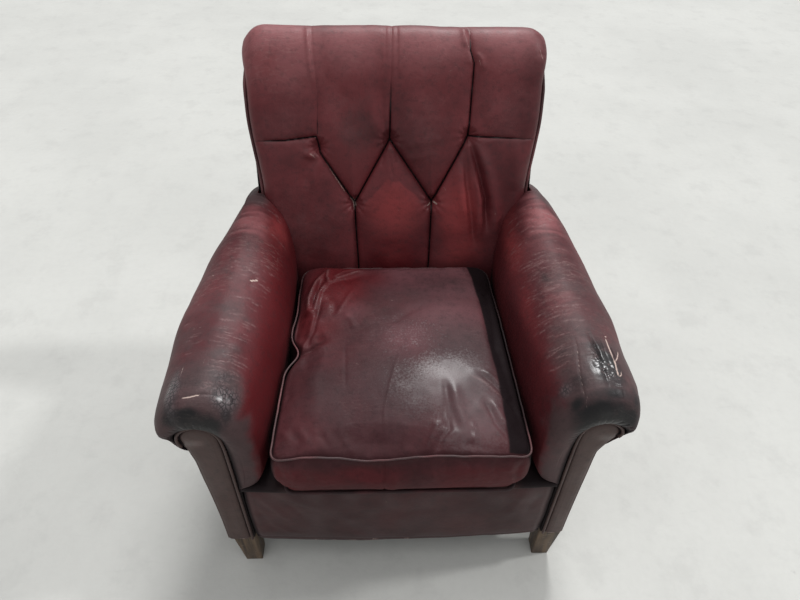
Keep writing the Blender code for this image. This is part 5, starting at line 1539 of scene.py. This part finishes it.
# Ridges and creases over the top, in plan
cushionFolds = [
    (((-0.15, 0.078), (-0.174, 0.023), (-0.186, -0.024), (-0.185, -0.064), (-0.167, -0.075)), 0.0072,
     0.0095),
    (((-0.148, 0.023), (-0.164, -0.007), (-0.171, -0.064)), 0.0055, 0.0055),
    (((-0.162, 0.05), (-0.168, 0.0), (-0.178, -0.05)), 0.005, -0.0055),
    (((-0.149, 0.076), (-0.151, 0.041), (-0.144, 0.023)), 0.0052, 0.0068),
    (((-0.144, 0.023), (-0.107, 0.044), (-0.071, 0.066)), 0.0052, 0.0068),
    (((-0.135, 0.05), (-0.099, 0.068), (-0.067, 0.078)), 0.0055, 0.0045),
    (((-0.138, 0.04), (-0.115, 0.052), (-0.092, 0.062)), 0.0045, -0.005),
    (((-0.12, 0.02), (-0.08, 0.045), (-0.045, 0.06)), 0.012, -0.004),
    (((-0.165, -0.075), (-0.173, -0.138), (-0.191, -0.177)), 0.01, 0.008),
    (((-0.158, -0.04), (-0.168, -0.122), (-0.184, -0.172)), 0.005, -0.006),
    (((-0.205, -0.04), (-0.203, -0.1), (-0.212, -0.14)), 0.012, -0.006),
    (((-0.21, -0.195), (-0.191, -0.177), (-0.161, -0.158), (-0.139, -0.153)), 0.005, -0.0075),
    (((-0.2, -0.21), (-0.17, -0.18), (-0.14, -0.172)), 0.012, 0.004),
    (((-0.136, -0.153), (-0.093, -0.134), (-0.049, -0.114), (-0.005, -0.109), (0.03, -0.077),
      (0.082, -0.044)), 0.009, -0.0013),
    (((-0.126, -0.14), (-0.083, -0.121), (-0.039, -0.101), (0.002, -0.096)), 0.012, 0.0009),
    (((-0.11, -0.081), (-0.092, -0.106), (-0.086, -0.129)), 0.006, 0.0016),
    (((-0.128, -0.092), (-0.11, -0.05), (-0.089, 0.004)), 0.0045, 0.0016),
    (((-0.15, -0.02), (-0.13, -0.05), (-0.128, -0.09)), 0.008, -0.0025),
    (((-0.003, -0.208), (-0.018, -0.27), (-0.029, -0.327), (-0.029, -0.369)), 0.0028, 0.0012),
    (((-0.103, -0.159), (-0.098, -0.285)), 0.0028, -0.0007),
    (((0.052, -0.402), (0.068, -0.374), (0.081, -0.36), (0.079, -0.313)), 0.006, -0.0035),
    (((0.04, -0.4), (0.055, -0.37), (0.066, -0.345)), 0.008, 0.0028),
    (((0.144, -0.242), (0.168, -0.264), (0.193, -0.298), (0.214, -0.331)), 0.0055, -0.0028),
    (((0.152, -0.236), (0.178, -0.256), (0.204, -0.288)), 0.0065, 0.0024),
    (((0.15, -0.302), (0.163, -0.346), (0.185, -0.377)), 0.0055, -0.0026),
    (((0.162, -0.3), (0.176, -0.338), (0.198, -0.366)), 0.007, 0.0026),
    (((0.08, -0.263), (0.083, -0.309), (0.097, -0.368)), 0.007, -0.002),
    (((0.095, -0.27), (0.1, -0.32), (0.115, -0.372)), 0.009, 0.0022),
    (((-0.21, -0.347), (-0.187, -0.377)), 0.006, 0.0016),
    (((-0.178, -0.348), (-0.156, -0.382)), 0.0065, 0.0016),
    (((-0.192, -0.345), (-0.17, -0.38)), 0.0055, -0.0012),
    (((-0.14, -0.36), (-0.12, -0.392)), 0.006, -0.0018),
    (((-0.1, -0.372), (-0.08, -0.396)), 0.006, 0.0018),
    (((-0.06, -0.398), (-0.04, -0.36)), 0.006, -0.0016),
    (((0.12, -0.398), (0.126, -0.37), (0.124, -0.345)), 0.0055, -0.002),
    (((0.0, -0.39), (0.01, -0.36)), 0.006, 0.0014),
    (((0.1, 0.06), (0.14, 0.04), (0.17, 0.0)), 0.012, -0.0018),
    (((0.06, 0.085), (0.11, 0.08), (0.16, 0.07)), 0.01, 0.0025),
    (((0.185, -0.12), (0.19, -0.18), (0.196, -0.24)), 0.012, -0.0025),
    (((-0.17, -0.24), (-0.15, -0.3), (-0.16, -0.34)), 0.02, 0.0022),
]

# Soft upright folds and puckers of the front boxing, in x and height
boxingFolds = [
    (((-0.21, 0.432), (-0.205, 0.39), (-0.212, 0.35)), 0.007, -0.0028),
    (((-0.19, 0.436), (-0.182, 0.4), (-0.186, 0.37)), 0.007, 0.0024),
    (((-0.16, 0.44), (-0.168, 0.405), (-0.16, 0.38)), 0.008, -0.0016),
    (((-0.12, 0.438), (-0.11, 0.405)), 0.008, 0.0016),
    (((-0.03, 0.432), (-0.029, 0.4), (-0.03, 0.325)), 0.002, -0.0026),
    (((-0.018, 0.43), (-0.014, 0.39), (-0.016, 0.34)), 0.007, 0.0016),
    (((0.03, 0.44), (0.024, 0.41), (0.028, 0.38)), 0.006, -0.0018),
    (((0.052, 0.444), (0.05, 0.415), (0.055, 0.385)), 0.006, 0.0022),
    (((0.072, 0.44), (0.076, 0.405)), 0.006, -0.0018),
    (((0.12, 0.44), (0.128, 0.41), (0.124, 0.38)), 0.008, 0.0016),
    (((0.16, 0.436), (0.158, 0.405), (0.166, 0.37)), 0.007, -0.0018),
    (((0.205, 0.432), (0.198, 0.395), (0.204, 0.35)), 0.0065, -0.0028),
    (((0.19, 0.436), (0.182, 0.402)), 0.0065, 0.002),
    (((-0.18, 0.345), (-0.1, 0.338), (-0.04, 0.34)), 0.01, -0.0022),
    (((0.0, 0.342), (0.08, 0.336), (0.18, 0.344)), 0.01, -0.002),
    (((-0.205, 0.33), (-0.19, 0.345)), 0.006, -0.0022),
    (((0.205, 0.33), (0.19, 0.346)), 0.006, -0.0022),
]


def weltPath(top, count=360):
    look = cushionLook
    centre = np.array((0.0, (look["front"] + look["rear"]) / 2))
    scale, level = (0.99, 0.4392) if top else (0.943, look["low"] + 0.0036)
    plan = centre + (cushionPlan(count) - centre) * scale
    height = np.full(count, level)
    if top:
        height += waveAt(plan[:, 0], plan[:, 1]) - 0.0085 * easeStep(plan[:, 1], -0.08, 0.04)
        turn = np.arange(count) / count * 2.0 * math.pi
        height += 0.0006 * np.sin(turn * 31.0) + 0.0004 * np.sin(turn * 57.0 + 1.0)
    plan[:, 0] += dentAt(plan[:, 0], plan[:, 1], height)
    return np.column_stack([plan, height])


# Puffs the cover up from inside with cloth, and keeps each point within reach of its seam
def puffCushion(mesh, anchors):
    look = cushionLook
    holder = placed("cushionWork", mesh)
    before = readPoints(mesh)
    cloth = holder.modifiers.new("cloth", "CLOTH")
    cloth.settings.quality = 5
    cloth.settings.mass = 0.4
    cloth.settings.tension_stiffness = 25.0
    cloth.settings.compression_stiffness = 25.0
    cloth.settings.bending_stiffness = 4.0
    cloth.settings.use_pressure = True
    cloth.settings.uniform_pressure_force = look["pressure"]
    cloth.settings.effector_weights.gravity = 0.0
    scene = bpy.context.scene
    for step in range(1, look["steps"] + 1):
        scene.frame_set(step)
    puffed = readPoints(holder.evaluated_get(bpy.context.evaluated_depsgraph_get()).data)
    scene.frame_set(1)
    bpy.data.objects.remove(holder, do_unlink=True)
    move = puffed - before
    length = np.linalg.norm(move, axis=1)
    most = (look["mostMove"] * (1.0 - 0.85 * anchors)
            * easeStep(before[:, 2], look["low"] + 0.004, look["low"] + 0.03))
    move *= (np.minimum(length, most) / np.maximum(length, 1e-9))[:, None]
    print("cushion puffed by up to", round(float(np.linalg.norm(move, axis=1).max()), 4), "m")
    writePoints(mesh, before + move)


def distanceTo(points, path):
    tree = KDTree(len(path))
    for number, knot in enumerate(path):
        tree.insert(knot, number)
    tree.balance()
    return np.array([tree.find(point)[2] for point in points])


def makeCushion():
    look = cushionLook
    topWelt, lowWelt = weltPath(True), weltPath(False)
    welts = np.vstack([topWelt, lowWelt])
    mesh = bentGrid("cushionForm", look["columns"], sum(look["rings"]) - 1, placeCushion)
    mesh = applied(mesh, "REMESH", mode="VOXEL", voxel_size=look["voxel"], use_smooth_shade=True)
    points = readPoints(mesh)
    puffCushion(mesh, np.exp(-(distanceTo(points, welts) / 0.016) ** 2))
    mesh = applied(mesh, "SUBSURF", levels=1, render_levels=1)
    mesh.name = "seatCushion"
    points = readPoints(mesh)
    normals = readNormals(mesh)
    top = easeStep(normals[:, 2], 0.35, 0.75)
    front = easeStep(-normals[:, 1], 0.35, 0.8)
    away = distanceTo(points, welts)
    loose = easeStep(away, 0.001, 0.012)
    plan = points[:, :2]
    lift = (strokes(plan, cushionFolds) + softNoise(plan, 0.055, 61) * 0.0011
            + softNoise(plan, 0.02, 62) * 0.00035)
    points[:, 2] += lift * top * loose
    sideLift = strokes(points[:, [0, 2]], boxingFolds) + softNoise(points, 0.03, 63) * 0.0006
    points += normals * (sideLift * front * loose)[:, None]
    points -= normals * (0.0016 * np.exp(-(away / 0.006) ** 2))[:, None]
    points[:, 2] = np.maximum(points[:, 2], look["low"])
    writePoints(mesh, points)
    smoothShade(mesh)
    x, y, z = points.T
    noise = softNoise(points, 0.06, 64)
    red = blobs(plan, [((-0.13, 0.02), (0.075, 0.1), 1.05), ((-0.185, -0.08), (0.03, 0.09), 0.7),
                       ((-0.06, 0.04), (0.06, 0.05), 0.6), ((-0.15, -0.12), (0.045, 0.05), 0.55)]) * top
    red = np.maximum(red, 0.6 * front * easeStep(-z, -0.44, -0.405) * (0.7 + 0.5 * noise))
    brown = blobs(plan, [((0.12, -0.23), (0.095, 0.16), 0.85), ((0.0, -0.28), (0.1, 0.1), 0.75),
                         ((0.08, 0.0), (0.14, 0.09), 0.6), ((-0.13, -0.3), (0.08, 0.09), 0.55)]) * top
    paint(mesh, fresh=red, rubbed=brown + 0.1 * noise)
    # Painted shadow of the right arm: a strip down the cushion's right side is painted black, darkened
    # further and kept dull
    shaded = (np.interp(y, (-0.4, -0.25, -0.05, 0.09), (0.181, 0.181, 0.173, 0.161))
              + 0.002 * softNoise(points, 0.03, 67))
    strip = easeStep(x - shaded, -0.003, 0.004) * (1.0 - front)
    # The haze here is painted sheen and highlight: over the top, strongest at the rear and round the glossy
    # patch at the right front, and on the front boxing
    paint(mesh, blackened=strip,
          haze=blobs(plan, [((0.1, 0.045), (0.145, 0.085), 1.45), ((0.1, -0.08), (0.1, 0.08), 0.75),
                            ((-0.095, -0.075), (0.035, 0.035), 0.6), ((0.02, -0.16), (0.08, 0.08), 0.6),
                            ((0.13, -0.3), (0.06, 0.09), 0.8), ((0.01, -0.31), (0.14, 0.09), 0.38)]) * top
          + 0.22 * front * (0.8 + 0.5 * noise) * (1.0 - 0.7 * easeStep(x, 0.04, 0.12)),
          polished=blobs(plan, [((0.105, -0.262), (0.1, 0.058), 1.05),
                                ((0.125, -0.33), (0.07, 0.075), 1.25), ((0.07, -0.285), (0.075, 0.05), 1.0),
                                ((-0.165, 0.0), (0.06, 0.09), 0.8), ((0.01, -0.15), (0.09, 0.07), 0.25)])
          * top * (1.0 - strip) - 0.8 * strip,
          creased=0.3 * top * easeStep(noise, -0.1, 0.7))
    ridges = [(((-0.15, 0.078), (-0.174, 0.023), (-0.186, -0.024), (-0.185, -0.064)), 0.0026, 0.5),
              (((-0.149, 0.076), (-0.151, 0.041), (-0.144, 0.023)), 0.0022, 0.6),
              (((-0.144, 0.023), (-0.107, 0.044), (-0.071, 0.066)), 0.0022, 0.6),
              (((-0.148, 0.023), (-0.164, -0.007), (-0.171, -0.064)), 0.002, 0.4),
              (((0.125, -0.25), (0.15, -0.262), (0.18, -0.29), (0.205, -0.33)), 0.003, 0.35)]
    setMask(mesh, "scuffed", strokes(plan, ridges) * top * (0.8 + 0.4 * softNoise(points, 0.01, 68)))
    # Painted shade: the cushion's sides beside the arms and the foot of the front boxing are painted dark,
    # with dark seams along the welts
    seam = np.maximum(0.85 * np.exp(-(away / 0.0045) ** 2), 0.7 * easeStep(-z, -0.33, -0.314) * front)
    paint(mesh, grime=np.maximum(np.maximum(seam, 0.88 * strip),
                                 0.8 * (1.0 - top) * (1.0 - front) * easeStep(np.abs(x), 0.15, 0.19)),
          pale=strokes(plan, [(((-0.003, -0.208), (-0.018, -0.27), (-0.029, -0.327), (-0.029, -0.369)),
                               0.0012, 0.3)]) * top)
    piece = addPiece("seatCushion", mesh, cushionLeather, ["seat_cushion"])
    for name, path, node in (("cushionTopWelt", topWelt, "cushion_top_welt"),
                             ("cushionBottomWelt", lowWelt, "cushion_bottom_welt")):
        cord = cordMesh(name, path, look["weltRadius"] * (0.52 if path is topWelt else 1.0), closed=True)
        points = readPoints(cord)
        paint(cord, haze=0.3 + 0.5 * softNoise(points, 0.03, 65),
              rubbed=0.55 + 0.4 * softNoise(points, 0.04, 66))
        # Painted shadow along the right side of the top welt; the lower welt is painted darker all over
        shadedSide = 0.85 * easeStep(points[:, 0], 0.15, 0.195) * easeStep(points[:, 1], -0.385, -0.33)
        setMask(cord, "grime", shadedSide if path is topWelt else np.full(len(points), 0.6))
        addPiece(name, cord, weltLeather, [node])


makeCushion()
print("cushion made")


# Floor, camera and lights

stageLook = {"light": rgb(0.518, 0.52, 0.496), "dark": rgb(0.478, 0.48, 0.458),
             "stain": rgb(0.38, 0.38, 0.365), "size": 30.0}


def makeStage():
    bm = bmesh.new()
    bmesh.ops.create_grid(bm, x_segments=2, y_segments=2, size=stageLook["size"])
    mesh = stored(bm, bpy.data.meshes.new("floor"))
    floor = placed("floor", mesh)
    board = Board("concreteFloor")
    place = board.place()
    clouds = board.noise(place, 1.4, 6.0, 0.65)
    fine = board.noise(place, 45.0, 3.0, 0.6)
    patches = board.noise(place, 9.0, 5.0, 0.7)
    scratch = board.between(board.noise(board.stretch(place, (14.0, 60.0, 1.0)), 1.0, 4.0, 0.65), 0.6, 0.72)
    pit = (1.0 - board.between(board.cells(place, 5.0), 0.01, 0.045)) * board.between(patches, 0.52, 0.6)
    colour = board.blend(board.between(clouds, 0.35, 0.65), stageLook["dark"], stageLook["light"])
    colour = board.blend((fine - 0.4) * 0.45, colour, stageLook["stain"])
    colour = board.blend(board.between(patches, 0.5, 0.68) * 0.26 + scratch * 0.16 + pit * 0.65, colour,
                         stageLook["stain"])
    mesh.materials.append(board.finish(colour, 0.75, (fine - 0.5) * 0.0006, Specular_IOR_Level=0.2))


cameraLook = {"place": (-0.034, -0.962, 1.31), "lens": 27.0, "sensor": 36.0, "pitch": 42.5, "yaw": -2.49,
              "roll": -1.27}


def makeCamera():
    look = cameraLook
    yaw, pitch, roll = (math.radians(look[key]) for key in ("yaw", "pitch", "roll"))
    ahead = Vector((-math.sin(yaw) * math.cos(pitch), math.cos(yaw) * math.cos(pitch), -math.sin(pitch)))
    level = Vector((math.cos(yaw), math.sin(yaw), 0.0))
    down = ahead.cross(level)
    right = level * math.cos(roll) + down * math.sin(roll)
    below = down * math.cos(roll) - level * math.sin(roll)
    data = bpy.data.cameras.new("camera")
    data.sensor_width = look["sensor"]
    data.lens = look["lens"]
    data.clip_start = 0.01
    camera = placed("camera", data)
    turn = Matrix((right, -below, -ahead)).transposed().to_4x4()
    camera.matrix_world = Matrix.Translation(look["place"]) @ turn
    bpy.context.scene.camera = camera


# Each sun: direction it comes from, width in degrees, strength
lightLook = {
    "rear": ((0.36, 1.62, 1.87), 15.0, 2.4),
    "right": ((1.05, 0.15, 1.0), 5.0, 1.05),
    "top": ((-0.05, -0.22, 1.0), 60.0, 1.05),
    "world": 0.38,
}


def makeLights():
    for name in ("rear", "right", "top"):
        place, width, strength = lightLook[name]
        data = bpy.data.lights.new(name, "SUN")
        data.angle = math.radians(width)
        data.energy = strength
        light = placed(name, data)
        turn = (-Vector(place)).to_track_quat("-Z", "Y").to_matrix().to_4x4()
        light.matrix_world = Matrix.Translation(place) @ turn
    world = bpy.data.worlds.new("world")
    world.use_nodes = True
    world.node_tree.nodes["Background"].inputs["Color"].default_value = rgb(0.97, 0.98, 1.0)
    world.node_tree.nodes["Background"].inputs["Strength"].default_value = lightLook["world"]
    bpy.context.scene.world = world
    bpy.context.scene.view_settings.view_transform = "Standard"


makeStage()
makeCamera()
makeLights()
print("stage, camera and lights set")
